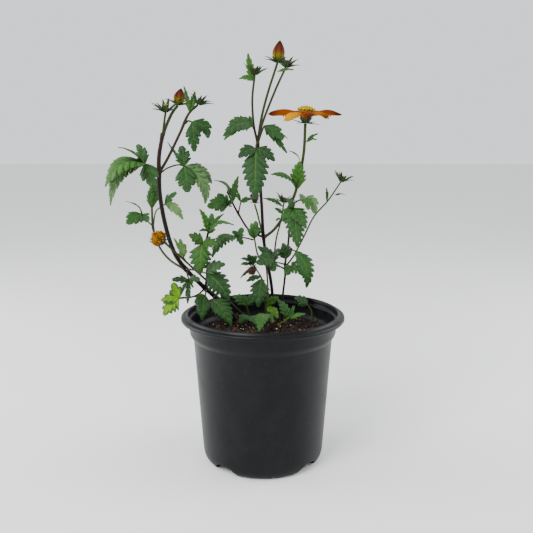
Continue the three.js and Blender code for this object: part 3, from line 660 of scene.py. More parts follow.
def tube(surface, line, radius_at, paint_at, sides, material, ridge=0.07):
    """A closed tube with four soft ridges along a line. radius_at and paint_at take 0 to 1."""
    side = flattened(Vector((1, 0.3, 0.1)), line[1] - line[0])
    rows = []
    for i, place in enumerate(line):
        ahead = line[min(i + 1, len(line) - 1)] - line[max(i - 1, 0)]
        side = flattened(side, ahead)
        other = ahead.normalized().cross(side)
        share = i / (len(line) - 1)
        radius, paint = radius_at(share, place), paint_at(share)
        row = []
        for k in range(sides):
            angle = TURN * k / sides
            reach = radius * (1 + ridge * math.cos(4 * angle))
            spot = place + (side * math.cos(angle) + other * math.sin(angle)) * reach
            row.append(surface.point(spot, (share, k / sides), paint))
        rows.append(row)
    capped(surface, rows, material)


# ---- thin blades --------------------------------------------------------------------------

FACING = {"front": Vector((0, -0.9, 0.45)), "up": Vector((0, -0.45, 0.9)), "back": Vector((0, 0.8, -0.3))}
RISE = Vector((0, -0.35, 1))
LEAF_THICKNESS, RAY_THICKNESS = 0.26, 0.3
# Places in a leaf's list of materials.
UPPER_SIDE, UNDERSIDE, STALK = 0, 1, 2
# Where a leaflet and a ray are at their widest, as a share of their length.
LEAF_WAIST, RAY_WAIST = 0.27, 0.62


def slab(surface, grid, thickness, pattern_at, paint, upper=0, under=0):
    """A thin closed sheet from a grid of points, thinner at its edges."""
    last, middle = len(grid) - 1, (len(grid[0]) - 1) / 2
    normals = []
    for i, column in enumerate(grid):
        row = []
        for j in range(len(column)):
            along = grid[min(i + 1, last)][j] - grid[max(i - 1, 0)][j]
            across = column[min(j + 1, len(column) - 1)] - column[max(j - 1, 0)]
            normal = along.cross(across)
            row.append(normal.normalized() if normal.length > 1e-9 else None)
        spare = next((n for n in row if n), normals[-1][0] if normals else Vector((0, 0, 1)))
        normals.append([n or spare for n in row])
    top, bottom = [], []
    for i, column in enumerate(grid):
        faces_up, faces_down = [], []
        for j, place in enumerate(column):
            edge = abs(j - middle) / middle
            half = 0.5 * thickness * (1 - 0.7 * edge ** 3)
            lift = normals[i][j] * half
            faces_up.append(surface.point(place + lift, pattern_at(i, j), paint(i, j)))
            faces_down.append(surface.point(place - lift, pattern_at(i, j), paint(i, j)))
        top.append(faces_up)
        bottom.append(faces_down)
    stitch(surface, top, upper)
    stitch(surface, [column[::-1] for column in bottom], under)
    for end in (0, -1):
        stitch(surface, [[c[end] for c in top], [c[end] for c in bottom]], upper)
        stitch(surface, [top[end], bottom[end]], upper)


class Midrib:
    """The bent centre line of a blade, and the frame that its width hangs on."""

    def __init__(self, base, tip, bow, face, twist=0.0):
        self.base, self.tip = Vector(base), Vector(tip)
        chord = self.tip - self.base
        self.crest = (self.base + self.tip) / 2 + flattened(RISE, chord) * 2 * bow
        self.length = chord.length + 1.2 * abs(bow)
        self.up, self.twist = FACING[face], twist

    def spot(self, s, wide, high):
        """The point a share s along, wide to the side and high off the blade."""
        place = self.base * (1 - s) ** 2 + self.crest * 2 * s * (1 - s) + self.tip * s ** 2
        ahead = ((self.crest - self.base) * (1 - s) + (self.tip - self.crest) * s).normalized()
        up = Quaternion(ahead, self.twist * (s - 0.3)) @ flattened(self.up, ahead)
        return place + up.cross(ahead) * wide + up * high


def fullness(s):
    """The width of a leaflet along its length, as a share of its widest."""
    if s < LEAF_WAIST:
        return 0.12 + 0.88 * (s / LEAF_WAIST) ** 0.8
    return 1 - ((s - LEAF_WAIST) / 0.73) ** 2


# One tooth, and one lobe with a small tooth on its side, from notch to notch: how deep each is
# cut, and how far it leans forward.
TOOTH = [(1.0, 0.0), (0.42, 0.12), (0.1, 0.32), (0.0, 0.52)]
LOBE = [(1.0, 0.0), (0.6, 0.08), (0.22, 0.2), (0.12, 0.34), (0.22, 0.32), (0.04, 0.46), (0.0, 0.6),
        (0.4, 0.5)]
# For each: how many millimetres one takes, how much deeper it is cut, and where its tip lies.
TOOTH_LOOK, LOBE_LOOK = (4.2, 1, 0.75), (6.5, 1.35, 0.78)


def leaflet(surface, row, paint, chance, depth=0.42, breadth=1.3, lobed=False, across=4):
    """One toothed leaflet: its columns follow the side veins from the midrib to the tooth tips."""
    base, tip, half_width, bow, face = row
    midrib = Midrib(base, tip, bow, face, chance.uniform(-0.7, 0.7))
    half_width *= breadth
    slender = half_width / midrib.length
    steps = LOBE if lobed else TOOTH
    per = len(steps)
    room, deeper, tip_step = LOBE_LOOK if lobed else TOOTH_LOOK
    teeth = max(2, min(8, round(midrib.length / room)))
    cut = depth * deeper * chance.uniform(0.85, 1.15)
    lean, fold = chance.uniform(0.75, 1.1), chance.uniform(0.1, 0.34)
    droop, wave = chance.uniform(0.2, 0.5), chance.uniform(0.25, 0.5)
    columns, start = [], 0.0
    for i in range(per * teeth + 1):
        s = i / (per * teeth)
        deep, forward = steps[i % per]
        wide = half_width * fullness(s) * (1 - cut * deep * (1 - s ** 5))
        edge_s = min(1, s + forward / teeth * 0.55)
        start = max(start, s - lean * slender * fullness(s) * 0.8, 0)
        columns.append((min(start, edge_s), edge_s, wide))
    columns[-1] = (1, 1, 0)
    grid = []
    for i, (inner, outer, wide) in enumerate(columns):
        column = []
        beside = math.cos(TURN * (i / per - tip_step))
        for j in range(-across, across + 1):
            t = abs(j) / across
            s = inner + (outer - inner) * t ** 1.15
            high = wide * (fold * t - droop * t ** 3) - wave * beside * math.sin(math.pi * t) * 0.35
            high += 0.3 * math.sin(s * 9 + chance.random() * 0.4 + j) * t
            column.append(midrib.spot(s, math.copysign(wide * t, j), high))
        grid.append(column)
    luck = chance.random()

    def brushed(i, j):
        return {**paint, "chance": luck, "along": columns[i][1]}
    slab(surface, grid, LEAF_THICKNESS, lambda i, j: (i / per, abs(j - across) / across), brushed,
         UPPER_SIDE, UNDERSIDE)


def ray(surface, midrib, half_width, paint, chance, curl, steps=22, across=5):
    """One ribbed petal: narrow at its foot, widest past its middle, with a notched end."""
    grid = []
    for i in range(steps + 1):
        s = i / steps
        if s < RAY_WAIST:
            wide = half_width * (0.3 + 0.7 * math.sin(s / RAY_WAIST * math.pi / 2))
        else:
            wide = half_width * math.sqrt(max(0, 1 - ((s - RAY_WAIST) / 0.4) ** 2.4))
        column = []
        for j in range(-across, across + 1):
            t = j / across
            notch = 0.045 * (1 - math.cos(t * TURN * 1.5)) * s ** 6
            high = -0.32 * half_width * t * t + 0.16 * math.cos(t * across * math.pi)
            high -= curl * max(0, s - 0.6) ** 2 * 9 + 0.5 * math.sin(s * 7 + chance) * t
            column.append(midrib.spot(s * (1 - notch), wide * t, high))
        grid.append(column)

    def brushed(i, j):
        return {**paint, "along": i / steps}
    slab(surface, grid, RAY_THICKNESS, lambda i, j: (i / steps, abs(j - across) / across), brushed)


def strip(surface, length, half_width, bend, cup, paint, steps=8, thickness=0.3, across=2):
    """One pointed strip that grows along +Z from the origin and bends towards +X."""
    grid = []
    for i in range(steps + 1):
        s = i / steps
        wide = half_width * (0.55 + 0.45 * math.sin(min(1, s / 0.4) * math.pi / 2)) * (1 - s ** 2.2)
        lean = bend * s * s
        column = []
        for j in range(-across, across + 1):
            t = j / across
            forward = length * lean * 0.6 + cup * t * t * wide
            column.append(Vector((forward, wide * t, length * s * (1 - 0.2 * lean))))
        grid.append(column)
    slab(surface, grid, thickness, lambda i, j: (i / 2, abs(j - across) / across),
         lambda i, j: {**paint, "along": i / steps})


def turned(surface, profile, sides, paint_at=lambda place, i: {}, shape=None):
    """A closed turned body about +Z from [radius, height] pairs that start and end on the axis."""
    rows = []
    for i, (radius, height) in enumerate(profile):
        share, row = i / (len(profile) - 1), []
        for k in range(sides):
            angle = TURN * k / sides
            place = polar(radius, angle, height)
            if shape:
                place = shape(place, angle, share)
            row.append(surface.point(place, (share, k / sides), paint_at(place, i)))
        rows.append(row)
    stitch(surface, rows, closed=True)


# ---- what repeats -------------------------------------------------------------------------


# The inputs that every tree has besides its own.
COPIED = {"Seed": "Int", "Piece": "Object", "Material": "Material"}


def new_tree(name, inputs):
    """A geometry tree with named inputs, as (graph, the group's inputs by name)."""
    tree = bpy.data.node_groups.new(name, "GeometryNodeTree")
    tree.interface.new_socket(name="Geometry", in_out="OUTPUT", socket_type="NodeSocketGeometry")
    for label, kind in {"Geometry": "Geometry", **inputs, **COPIED}.items():
        tree.interface.new_socket(name=label, in_out="INPUT", socket_type=f"NodeSocket{kind}")
    graph = Graph(tree)
    entry = tree.nodes.new("NodeGroupInput")
    return graph, {s.name: Value(graph, s) for s in entry.outputs if s.name}


def random_value(graph, low, high, seed, step=0):
    values = {"Min": low, "Max": high, "Seed": seed + step}
    return graph.add("FunctionNodeRandomValue", {"data_type": "FLOAT"}, values)


def vector(graph, x, y, z):
    return graph.add("ShaderNodeCombineXYZ", None, {"X": x, "Y": y, "Z": z})


def spots_round(graph, given, angle, reach, height):
    """A count of points, each at its own turn, reach and height about +Z."""
    place = vector(graph, angle.cosine() * reach, angle.sine() * reach, height)
    return graph.add("GeometryNodePoints", None, {"Count": given["Count"], "Position": place})


def close_tree(graph, given, spots, turn, scale, step):
    """Puts a copy on each spot and ends the tree: each keeps its own chance and becomes real faces."""
    piece = graph.add("GeometryNodeObjectInfo", None, {"Object": given["Piece"]}, "Geometry")
    copies = graph.add("GeometryNodeInstanceOnPoints", None, {
        "Points": spots, "Instance": piece, "Scale": vector(graph, scale, scale, scale),
        "Rotation": graph.add("FunctionNodeEulerToRotation", None, {"Euler": turn})})
    chance = random_value(graph, 0.0, 1.0, given["Seed"], step)
    kept = graph.add("GeometryNodeStoreNamedAttribute", {"data_type": "FLOAT", "domain": "INSTANCE"},
                     {"Geometry": copies, "Name": "chance", "Value": chance})
    real = graph.add("GeometryNodeRealizeInstances", None, {"Geometry": kept})
    values = {"Geometry": real, "Material": given["Material"]}
    coated = graph.add("GeometryNodeSetMaterial", None, values)
    leaving = graph.tree.nodes.new("NodeGroupOutput")
    graph.feed(leaving.inputs["Geometry"], coated)
    return graph.tree


def ring_tree():
    """Copies of one piece in a ring about +Z, leaning out by the spread."""
    graph, given = new_tree("ring of pieces", {
        "Count": "Int", "Spread": "Float", "Wander": "Float", "Reach": "Float"})
    index = graph.add("GeometryNodeInputIndex")
    seed, wander = given["Seed"], given["Wander"]
    angle = index / given["Count"] * TURN + random_value(graph, -0.5, 0.5, seed) * wander
    lean = given["Spread"] + random_value(graph, -0.8, 0.8, seed, 1) * wander
    spots = spots_round(graph, given, angle, given["Reach"], 0.0)
    scale = random_value(graph, 0.8, 1.12, seed, 2)
    return close_tree(graph, given, spots, vector(graph, 0.0, lean, angle), scale, 3)


# The turn from each seed in a flower's spiral to the next.
GOLDEN_TURN = math.radians(137.508)


def dome_tree():
    """Copies of one piece packed over a dome in the spiral that seeds follow."""
    graph, given = new_tree("spiral over a dome", {
        "Count": "Int", "Radius": "Float", "Height": "Float", "Splay": "Float", "Size": "Float"})
    index = graph.add("GeometryNodeInputIndex")
    seed = given["Seed"]
    share = (index + 0.5) / given["Count"]
    angle = index * GOLDEN_TURN
    away = share ** 0.5
    spots = spots_round(graph, given, angle, away * given["Radius"], (1 - share) * given["Height"])
    lean = away * given["Splay"] + random_value(graph, -0.25, 0.25, seed, 1)
    scale = given["Size"] * random_value(graph, 0.75, 1.25, seed, 2)
    return close_tree(graph, given, spots, vector(graph, 0.0, lean, angle), scale, 3)


def litter_tree():
    """Copies of one piece strewn over a surface, each turned and sized by chance."""
    graph, given = new_tree("litter on a surface", {
        "Density": "Float", "Smallest": "Float", "Largest": "Float"})
    seed = given["Seed"]
    spots = graph.add("GeometryNodeDistributePointsOnFaces", {"distribute_method": "RANDOM"}, {
        "Mesh": given["Geometry"], "Density": given["Density"], "Seed": seed}, "Points")
    spin = vector(graph, *[random_value(graph, 0.0, TURN, seed, step) for step in (1, 2, 3)])
    skew = random_value(graph, 0.0, 1.0, seed, 4)
    size = given["Smallest"] + (given["Largest"] - given["Smallest"]) * skew ** 3.0
    return close_tree(graph, given, spots, spin, size, 5)


def grown(name, tree, on=None, move=None, **given):
    """The real faces that a tree makes with the given inputs, as a new piece."""
    host = shown(name, on.data.copy() if on else bpy.data.meshes.new(name))
    modifier = host.modifiers.new("growth", "NODES")
    modifier.node_group = tree
    for item in tree.interface.items_tree:
        if item.in_out == "INPUT" and item.name in given:
            modifier[item.identifier] = given[item.name]
    bpy.context.view_layer.update()
    evaluated = host.evaluated_get(bpy.context.evaluated_depsgraph_get())
    mesh = bpy.data.meshes.new_from_object(evaluated)
    host.modifiers.remove(modifier)
    host.data = mesh
    if move:
        mesh.transform(move)
    smoothed(mesh)
    return host


# Shapes for the trees to copy. They are taken out of the scene once the copies are made.
PATTERN_PIECES = []
RING, DOME, LITTER = ring_tree(), dome_tree(), litter_tree()


def pattern_piece(name, build):
    surface = Surface()
    build(surface)
    PATTERN_PIECES.append(surface.finished(name, []))
    return PATTERN_PIECES[-1]


def lump(name, stretch, seed):
    """A rough rounded chip about a millimetre across, at the origin."""
    mesh = bpy.data.meshes.new(name)
    work = bmesh.new()
    bmesh.ops.create_icosphere(work, subdivisions=1, radius=0.5 * MM)
    for corner in work.verts:
        rough = 1 + 0.75 * noise.noise(corner.co / MM * 2.1 + Vector((seed, 0, 0)))
        corner.co = Vector([c * s * rough for c, s in zip(corner.co, stretch)])
    work.to_mesh(mesh)
    work.free()
    PATTERN_PIECES.append(shown(name, mesh))
    return PATTERN_PIECES[-1]


def on_head(at, axis):
    """Moves a head made about +Z to its place on the plant, in metres."""
    turn = Vector((0, 0, 1)).rotation_difference(Vector(axis))
    return Matrix.Translation(Vector(at) * MM) @ turn.to_matrix().to_4x4()


def keep(piece, slot, *nodes):
    """Fixes a piece to the one body and hides the plain nodes it stands in for. The material slot is not
    used.
    """
    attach(piece, "root")
    if nodes:
        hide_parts(*nodes)


def turned_body(name, material, head, slot, node, profile, sides, paint_at, shape=None):
    """A turned piece set on a head."""
    surface = Surface()
    turned(surface, profile, sides, paint_at, shape)
    body = surface.finished(name, [material])
    body.data.transform(head)
    keep(body, slot, node)


def on_dome(name, head, slot, count, radius, height, splay, size, seed, piece, material):
    """Copies of a piece packed over a dome on a head. Radius and height are in millimetres."""
    keep(grown(name, DOME, move=head, Count=count, Radius=radius * MM, Height=height * MM, Splay=splay,
               Size=size, Seed=seed, Piece=piece, Material=material), slot)


# ---- stems and leaves ---------------------------------------------------------------------

# How ripe each shoot's stems look, from 0 olive green to 1 purple black, in the rows' order.
RIPENESS = {
    "left_shoot": [1, 0.7, 0.4, 0.35, 0.6, 0.8, 0.9, 0.4, 0.2],
    "middle_shoot": [1, 0.5, 0.4, 0.45, 0.35, 0.8, 0.4, 0.3],
    "right_shoot": [0.75, 0.3, 0.5],
    "slender_shoot": [0.25],
    "short_shoot": [0.25],
    "spent_flower_stalk": [0.5],
    "seedling": [0.0],
}
YOUNG_TIPS = {"seedling": 0.42, "left_shoot": 0.5, "middle_shoot": 0.5, "short_shoot": 0.75}
# How old each leaf looks, from 0 fresh to 1 deep green; the rest take AGE.
AGE = 0.72
LEAF_AGE = {
    "dark_leaf": 1.0, "dark_side_leaf": 0.9, "grey_leaf": 0.85, "grey_green_leaf": 0.9,
    "feather_leaf": 0.35,
    "yellow_green_leaf": 0.5, "seedling": 0.1, "inner_right_leaf": 0.25, "three_part_leaf": 0.68,
    "upper_left_leaf": 0.6, "left_branch_leaf": 0.55, "side_shoot_left_leaf": 0.55,
    "side_shoot_right_leaf": 0.5, "right_arching_leaf": 0.5, "hanging_leaf": 0.85, "arching_leaf": 0.75,
    "front_hanging_leaf": 0.8, "soil_leaf": 0.6, "rim_leaf": 0.6,
}
# How much yellow shines through between a leaf's veins.
BRIGHT = {"yellow_green_leaf": 1.0, "three_part_leaf": 0.1}
# Leaves cut into lobes; the rest only have teeth.
LOBED = {"upper_left_leaf", "upper_right_leaf", "bud_stalk_leaf", "crown_left_leaf", "crown_right_leaf",
         "side_shoot_left_leaf", "side_shoot_right_leaf", "left_branch_leaf", "right_arching_leaf",
         "dark_leaf", "inner_low_leaf", "lower_right_small_leaf", "grey_green_leaf", "feather_leaf"}
# Leaves whose leaflets are broader than the rest, as a share of their row's half-width.
BREADTH = {"crown_left_leaf": 1.9, "upper_left_leaf": 1.7, "bud_stalk_leaf": 1.6, "crown_right_leaf": 1.6,
           "upper_right_leaf": 1.5, "hanging_leaf": 1.25, "right_hanging_leaf": 1.5,
           "side_shoot_left_leaf": 1.5, "dark_leaf": 1.45, "lower_right_small_leaf": 1.6, "grey_leaf": 1.5,
           "back_rim_leaf": 1.8, "feather_leaf": 1.8}
JOINTS = [Vector(points[0]) for shoot in SHOOTS.values() for _, points in shoot["stems"]]
JOINTS += [Vector(petiole[0]) for petiole, _ in LEAVES.values()]


def stem(surface, radius, points, ripe):
    """One stem that thins towards its end and swells where leaves and branches leave it."""
    near = [j for j in JOINTS if any((j - Vector(p)).length < 12 for p in points)]

    def radius_at(share, place):
        swell = max([math.exp(-((place - joint).length / 2.4) ** 2) for joint in near], default=0)
        return radius * (1.06 - 0.16 * share) * (1 + 0.32 * swell)
    tube(surface, route(points), radius_at,
         lambda share: {"age": ripe * (1 - 0.2 * share), "chance": ripe}, 12, STALK)


for name, shoot in SHOOTS.items():
    chance = random.Random(name)
    surface = Surface()
    for (radius, points), ripe in zip(shoot["stems"], RIPENESS[name]):
        stem(surface, radius, points, ripe)
    for row in shoot["tips"]:
        paint = {"age": YOUNG_TIPS.get(name, 0.6) + chance.uniform(-0.1, 0.15)}
        leaflet(surface, row, paint, chance, depth=0.36, breadth=1.45)
    slot = {"seedling": "young_green"}.get(name, "dark_stem" if RIPENESS[name][0] > 0.6 else "green_stem")
    keep(surface.finished(f"grown_{name}", [UPPER, UNDER, STEM]), slot, name)

for name, (petiole, leaflets) in LEAVES.items():
    chance = random.Random(name)
    surface = Surface()
    age = LEAF_AGE.get(name, AGE)
    stalk_age = chance.uniform(0.25, 0.6)
    tube(surface, route(petiole), lambda share, place: 0.72 - 0.2 * share,
         lambda share: {"age": stalk_age, "chance": 0.5}, 8, STALK, 0.12)
    for tip, half_width, bow, face in leaflets:
        paint = {"age": age + chance.uniform(-0.08, 0.08), "bright": BRIGHT.get(name, 0.0)}
        leaflet(surface, [petiole[-1], tip, half_width, bow, face], paint, chance,
                breadth=BREADTH.get(name, 1.3), lobed=name in LOBED)
    keep(surface.finished(f"grown_{name}", [UPPER, UNDER, STEM]), "leaf_green", name)

# ---- buds and heads -----------------------------------------------------------------------


def bract_piece(name, length, half_width, bend, cup=0.5, age=0.4):
    return pattern_piece(name, lambda s: strip(s, length, half_width, bend, cup, {"age": age}))


def bracts(name, head, slot, count, spread, piece, seed, reach=0.8, wander=0.35, material=BRACT):
    """A ring of bracts round a head. Reach, in millimetres, is how far out they start."""
    keep(grown(name, RING, move=head, Count=count, Spread=spread, Wander=wander, Reach=reach * MM,
               Seed=seed, Piece=piece, Material=material), slot)


def egg(radius, length, steps=12):
    """A bud's outline: a rounded foot, widest below its middle and drawn in at the top."""
    outline = [[0, 0]]
    for i in range(1, steps):
        s = i / steps
        wide = math.sin(math.pi * s ** 0.8) ** 0.75
        outline.append([radius * wide, length * s])
    return [*outline, [0, length]]


def furled(place, angle, share):
    """Rays wrapped round each other: shallow flutes that wind up the bud."""
    flute = 1 + 0.09 * math.cos(6 * angle + 3 * share) * math.sin(math.pi * share)
    return Vector((place.x * flute, place.y * flute, place.z))


FLORET_PIECE = pattern_piece("floret", lambda s: turned(
    s, [[0, 0], [0.3, 0.05], [0.42, 1.0], [0.62, 1.5], [0.35, 1.42], [0, 1.2]], 6,
    lambda place, i: {"along": place.z / 1.5}))
SLENDER = bract_piece("slender bract", 11, 1.3, 0.55, 0.6, 0.5)
SHORT = bract_piece("short bract", 4.6, 0.62, 0.3)
BROAD = bract_piece("broad bract", 4.4, 1.35, -0.35, -0.4, 0.75)

for number, (name, (at, axis, radius, length)) in enumerate(BUDS.items()):
    head = on_head(at, axis)
    red = name.endswith("red_bud")
    slot = "red_bud" if red else "calyx_green"
    outline = egg(radius, length) if red else egg(0.85 * radius, 0.8 * length)
    turned_body(f"grown_{name}", FURLED if red else BRACT, head, slot, name, outline, 36,
                lambda place, i: {"age": 0.6, "along": place.z / length}, furled)
    ring = (9, 0.8, SLENDER, number * 9 + 1, 0.8) if red else (13, 0.62, SLENDER, number * 9 + 1, 1.2)
    bracts(f"{name}_outer_bracts", head, slot, *ring, 0.45)
    snug = Matrix.Diagonal((radius / 3, radius / 3, length / (7.5 if red else 6), 1))
    bracts(f"{name}_inner_bracts", head @ snug, slot, 8, 0.42, BROAD, number * 9 + 4, 1.1, 0.12)
    if not red:
        crown = head @ Matrix.Translation((0, 0, 0.62 * length * MM))
        on_dome(f"{name}_florets", crown, slot, 18, 0.32 * radius, 0.25 * radius, 0.7, 0.5, number,
                FLORET_PIECE, FLORET)

# ---- the open flower ----------------------------------------------------------------------


def eight_sided(place, angle, share):
    """The calyx's eight soft ribs."""
    rib = 1 + 0.05 * math.cos(8 * angle)
    return Vector((place.x * rib, place.y * rib, place.z))


foot, axis = Vector(FLOWER[0]), Vector(FLOWER[1])
head = on_head(foot, axis)
CALYX = [[0, 0], [1.7, 0.1], [2.8, 0.9], [3.7, 2.4], [4.1, 4.2], [4.0, 5.6], [2.5, 6.0], [0, 6.1]]
turned_body("grown_flower_calyx", BRACT, head, "calyx_green", "flower_calyx", CALYX, 32,
            lambda place, i: {"age": 0.6}, eight_sided)
LONG = bract_piece("long bract", 8.6, 0.9, 0.25)
SCALE = bract_piece("calyx scale", 6.6, 1.7, 0.25, -0.35, 0.85)
bracts("flower_outer_bracts", head, "calyx_green", 8, 1.4, LONG, 5, 1.6, 0.3)
bracts("flower_inner_bracts", head, "calyx_green", 8, 0.5, SCALE, 6, 1.9, 0.1)

FACE = foot + axis * 6.4
DISC = [[0, -0.2], [3, -0.2], [5.2, 1], [5.6, 2.2], [4.6, 3.6], [2.4, 4.3], [0, 4.5]]
turned_body("grown_flower_disc", FLORET, on_head(FACE, axis), "disc_yellow", "flower_disc", DISC, 32,
            lambda place, i: {"along": 0.2, "chance": 0.4})
crown = on_head(FACE + Vector((0, 0, 2.4)), axis)
on_dome("disc_florets", crown, "disc_yellow", 130, 5.4, 1.9, 0.8, 1.0, 3, FLORET_PIECE, FLORET)

# How yellow each ray is, and how dark and curled its end, in the rows' order.
RAY_LOOKS = [(0.1, 1.0, 0.5), (0.4, 0.7, 0.9), (0.1, 0.5, 0.4), (1.0, 0.1, 1.2), (0.15, 0.9, 0.3),
             (0.15, 0.8, 0.6), (0.25, 0.7, 0.7), (0.2, 0.8, 0.7)]
RAY_FOOT, DROOP_SHARE, SLIMMER = 3.6, 0.6, 0.82
for number, (row, (yellow, dark, curl)) in enumerate(zip(RAYS, RAY_LOOKS), 1):
    turn, length, half_width, droop = row
    out = polar(1, math.radians(turn))
    base = FACE + out * RAY_FOOT + Vector((0, 0, 1))
    tip = FACE + out * length + Vector((0, 0, 1.5 - DROOP_SHARE * droop))
    surface = Surface()
    ray(surface, Midrib(base, tip, 1.6, "up", 0.5 - number % 3 * 0.5), SLIMMER * half_width,
        {"bright": yellow, "age": dark, "chance": number / 8}, number, curl)
    keep(surface.finished(f"grown_petal_{number}", [PETAL]), "orange_petal", f"petal_{number}")

# ---- spent heads --------------------------------------------------------------------------

SHRIVEL = pattern_piece(
    "shrivelled ray", lambda s: strip(s, 3.4, 1.2, -1.1, 1.1, {"age": 0.5}, 7, 0.25))


def spent(name, radius, length, material, slot, count, splay, seed):
    """A finished flower: a dark cup, loose bracts and a crumpled tuft."""
    head = on_head(*HEADS[name])
    skin = DRIED if material is DRIED else BRACT
    cup = [[wide * radius, high * length] for wide, high in SPENT_CUP]
    turned_body(f"grown_{name}", skin, head, slot, name, cup, 24,
                lambda place, i: {"age": 0.9, "along": 0.3})
    bracts(f"{name}_bracts", head, slot, 8, 1.25, SHORT, seed, 1.0, 0.5, skin)
    bracts(f"{name}_sheath", head, slot, 8, 0.55, BROAD, seed + 1, 1.3, 0.3, skin)
    crown = head @ Matrix.Translation((0, 0, 0.38 * length * MM))
    on_dome(f"{name}_tuft", crown, slot, count, 0.72 * radius, 0.3 * length, splay, 0.16 * radius, seed,
            SHRIVEL, material)


# The cup's outline as shares of its radius and length.
SPENT_CUP = [(0, 0), (0.45, 0.05), (0.75, 0.25), (0.8, 0.45), (0.5, 0.6), (0, 0.68)]
spent("spent_head", 6, 11, WITHERED, "dried_flower", 90, 1.0, 11)
spent("fading_head", 4.2, 12, PETAL, "orange_petal", 18, 0.7, 21)
spent("dried_head", 3.8, 8, DRIED, "dried_flower", 26, 1.2, 31)

# ---- the pot ------------------------------------------------------------------------------

# The wall's outline as radius and height, up the outside from the foot and down the inside.
WALL = [[0, 0], [10, 0], [13, 6], [38, 6], [39.5, 0], [42.6, 0], [44.2, 0.4], [45.6, 1.3], [46.8, 2.6],
    [47.7, 4], [48.4, 6.2], [48.8, 8.4], [49, 10.5], [50.6, 33], [52.2, 56], [53.8, 80], [55.3, 101.2],
    [55.45, 101.8], [55.9, 102.6], [56.7, 103.6], [57.5, 104.9], [58, 106], [58.3, 107.4], [58.3, 115.2],
    [58.6, 115.7], [63.7, 116.2], [64.5, 116.6], [65, 117.3], [65, 118.7], [64.8, 119.3], [64.2, 119.8],
    [63.5, 120.1], [62.8, 120.2], [62.3, 120.05], [62, 119.9], [61.7, 120.2], [61.4, 120.9], [61, 121.5],
    [60.6, 121.9], [60.2, 122], [59.7, 121.8], [59.4, 121.3], [59.25, 119], [59.2, 117.2], [58.9, 116.7],
    [57.8, 116.4], [57.4, 116], [57.3, 115], [57.3, 107.8], [56.9, 106.4], [56.2, 105], [55.2, 103.9],
    [54.5, 103], [54.3, 102.4], [51, 56], [48, 10.8], [47.4, 9], [46, 7.9], [44, 7.3], [12.4, 7],
    [9.4, 1], [0, 1]]
POT_SIDES = 144
# The corner of the outline where the inside starts.
INSIDE_START = 48
# Rings of openings in the foot: count, first one's turn, width and height.
ARCHES = [(4, 50, 23, 7.5), (4, 11, 5.5, 2.6)]
CUT_FROM, CUT_TO, CUT_SIDES = 36, 62, 40


def splashed(place, i):
    """Soil clings to the pot's shoulder and its inner wall."""
    if i > INSIDE_START:
        return {"age": 0.9}
    return {"age": max(0, 1 - abs(place.z - 104) / 9) * 0.5 + 0.08}


surface = Surface()
turned(surface, WALL, POT_SIDES, splashed)
pot = surface.finished("moulded_pot", [PLASTIC])
cutters = []
for count, turn, width, height in ARCHES:
    for k in range(count):
        bore = Surface()
        angle = math.radians(turn + 360 * k / count)
        out, side = polar(1, angle), polar(1, angle + TURN / 4)
        ring = [side * width / 2 * math.cos(a) + Vector((0, 0, height * math.sin(a)))
                for a in [TURN * n / CUT_SIDES for n in range(CUT_SIDES)]]
        capped(bore, [[bore.point(p + out * reach, (0, 0), {}) for p in ring]
                      for reach in (CUT_FROM, CUT_TO)])
        cutters.append(bore.finished("opening", []))
for cutter in cutters:
    cut = pot.modifiers.new("opening", "BOOLEAN")
    cut.operation, cut.solver, cut.object = "DIFFERENCE", "EXACT", cutter
bpy.context.view_layer.update()
carved = bpy.data.meshes.new_from_object(pot.evaluated_get(bpy.context.evaluated_depsgraph_get()))
pot.modifiers.clear()
pot.data = carved
for cutter in cutters:
    bpy.data.objects.remove(cutter)
keep(pot, "black_plastic", "nursery_pot")

# ---- the potting mix ----------------------------------------------------------------------

SOIL_RADIUS = 54.4
SOIL_TOP = 104.2
LITTER_RADIUS = 50.5


def soil_height(x, y):
    """Hummocks and crumbs, a little higher in the middle."""
    away = math.hypot(x, y) / SOIL_RADIUS
    hummock = noise.noise(Vector((x, y, 0)) / 16) * 1.6
    crumbs = noise.fractal(Vector((x, y, 5)) / 4.5, 1.0, 2.0, 4) * 0.9
    return SOIL_TOP + 1.2 * (1 - away * away) + (hummock + crumbs) * (1 - 0.5 * away ** 8)


def soil_row(surface, radius, sides, height=None):
    """A ring of points on the soil's surface, or at the given height."""
    row = []
    for k in range(sides):
        place = polar(radius, TURN * k / sides)
        place.z = soil_height(place.x, place.y) if height is None else height
        row.append(surface.point(place, (0, 0), {}))
    return row


SOIL_SIDES, SOIL_RINGS = 120, 54
surface = Surface()
rows = [soil_row(surface, radius, SOIL_SIDES, height)
        for radius, height in [[0, 9], [39, 9], [46, 13], [53.4, 98]]]
rows += [soil_row(surface, SOIL_RADIUS * (1 - k / SOIL_RINGS), SOIL_SIDES) for k in range(SOIL_RINGS + 1)]
stitch(surface, rows, closed=True)
keep(surface.finished("compost", [EARTH]), "potting_mix", "potting_mix")

GROUND_SIDES, GROUND_RINGS = 48, 24
ground = Surface()
stitch(ground, [soil_row(ground, LITTER_RADIUS * (1 - n / GROUND_RINGS), GROUND_SIDES)
                for n in range(GROUND_RINGS)], closed=True)
surface_only = ground.finished("top of the compost", [])
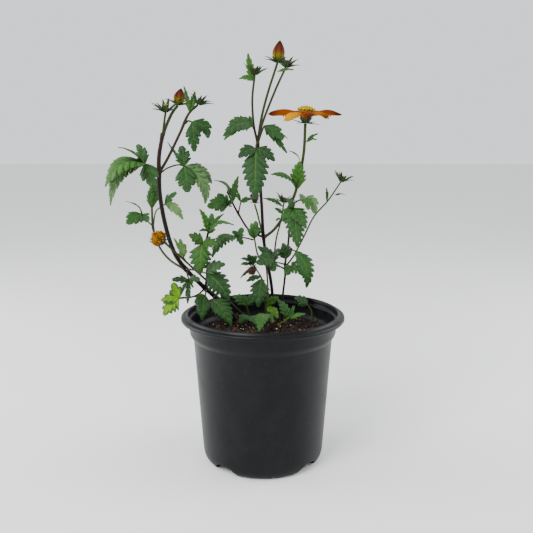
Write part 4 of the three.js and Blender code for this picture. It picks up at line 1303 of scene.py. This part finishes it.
# Name, finish, shape, copies to the square metre, smallest and largest size, and seed.
LITTERS = [
    ("fine_clods", CLOD, lump("clod", (1, 1, 0.8), 3), 520000, 0.7, 3.2, 1),
    ("bark_chips", BARK, lump("bark chip", (1.5, 0.75, 0.32), 7), 60000, 2.0, 7.5, 2),
    ("pale_chips", STRAW, lump("pale chip", (1.6, 0.6, 0.25), 5), 14000, 1.5, 5.0, 6),
    ("bark_splinters", BARK, lump("splinter", (2.4, 0.3, 0.22), 9), 60000, 1.0, 3.0, 3),
    ("perlite", PERLITE, lump("perlite grain", (1, 0.9, 0.85), 13), 16000, 0.8, 2.8, 4),
]
for name, material, piece, density, smallest, largest, seed in LITTERS:
    keep(grown(name, LITTER, on=surface_only, Density=float(density), Smallest=smallest, Largest=largest,
               Seed=seed, Piece=piece, Material=material), "potting_mix")

for spare in [surface_only, *PATTERN_PIECES]:
    bpy.data.objects.remove(spare)

# ---- floor, light and camera --------------------------------------------------------------


def plain(name, colour, roughness):
    g = Finish(name)
    shade = tuple(0.985 * c for c in colour)
    return g.done(base_color=g.mix(g.noise(3), colour, shade), roughness=roughness)


floor_mesh = bpy.data.meshes.new("floor")
floor_mesh.from_pydata([(-4, -4, 0), (4, -4, 0), (4, 4, 0), (-4, 4, 0)], [], [(0, 1, 2, 3)])
floor_mesh.materials.append(plain("pale floor", (0.82, 0.82, 0.81), 0.6))
floor = shown("floor", floor_mesh)

world = bpy.data.worlds.new("soft daylight")
bpy.context.scene.world = world
world.use_nodes = True
world.node_tree.nodes["Background"].inputs["Color"].default_value = (0.95, 0.97, 1, 1)
world.node_tree.nodes["Background"].inputs["Strength"].default_value = 1.25


def panel(name, at, towards, size, watts):
    light = bpy.data.lights.new(name, "AREA")
    light.shape, light.size, light.energy = "SQUARE", size, watts
    lamp = bpy.data.objects.new(name, light)
    lamp.location = at
    lamp.rotation_euler = (Vector(towards) - Vector(at)).to_track_quat("-Z", "Y").to_euler()
    bpy.context.scene.collection.objects.link(lamp)


MIDDLE = (0, 0, 0.17)
panel("window", (-0.7, -0.9, 1.1), MIDDLE, 0.7, 24)
panel("left panel", (-0.9, 0.15, 0.35), MIDDLE, 0.6, 8)
panel("right panel", (0.9, 0.15, 0.4), MIDDLE, 0.6, 8)

camera = bpy.data.cameras.new("camera")
camera.lens, camera.sensor_width = 48.97, 36
viewer = bpy.data.objects.new("camera", camera)
viewer.location = (0.0029, -0.56, 0.2721)
viewer.rotation_euler = (math.radians(90 - 11.47), 0, 0)
bpy.context.scene.collection.objects.link(viewer)
bpy.context.scene.camera = viewer
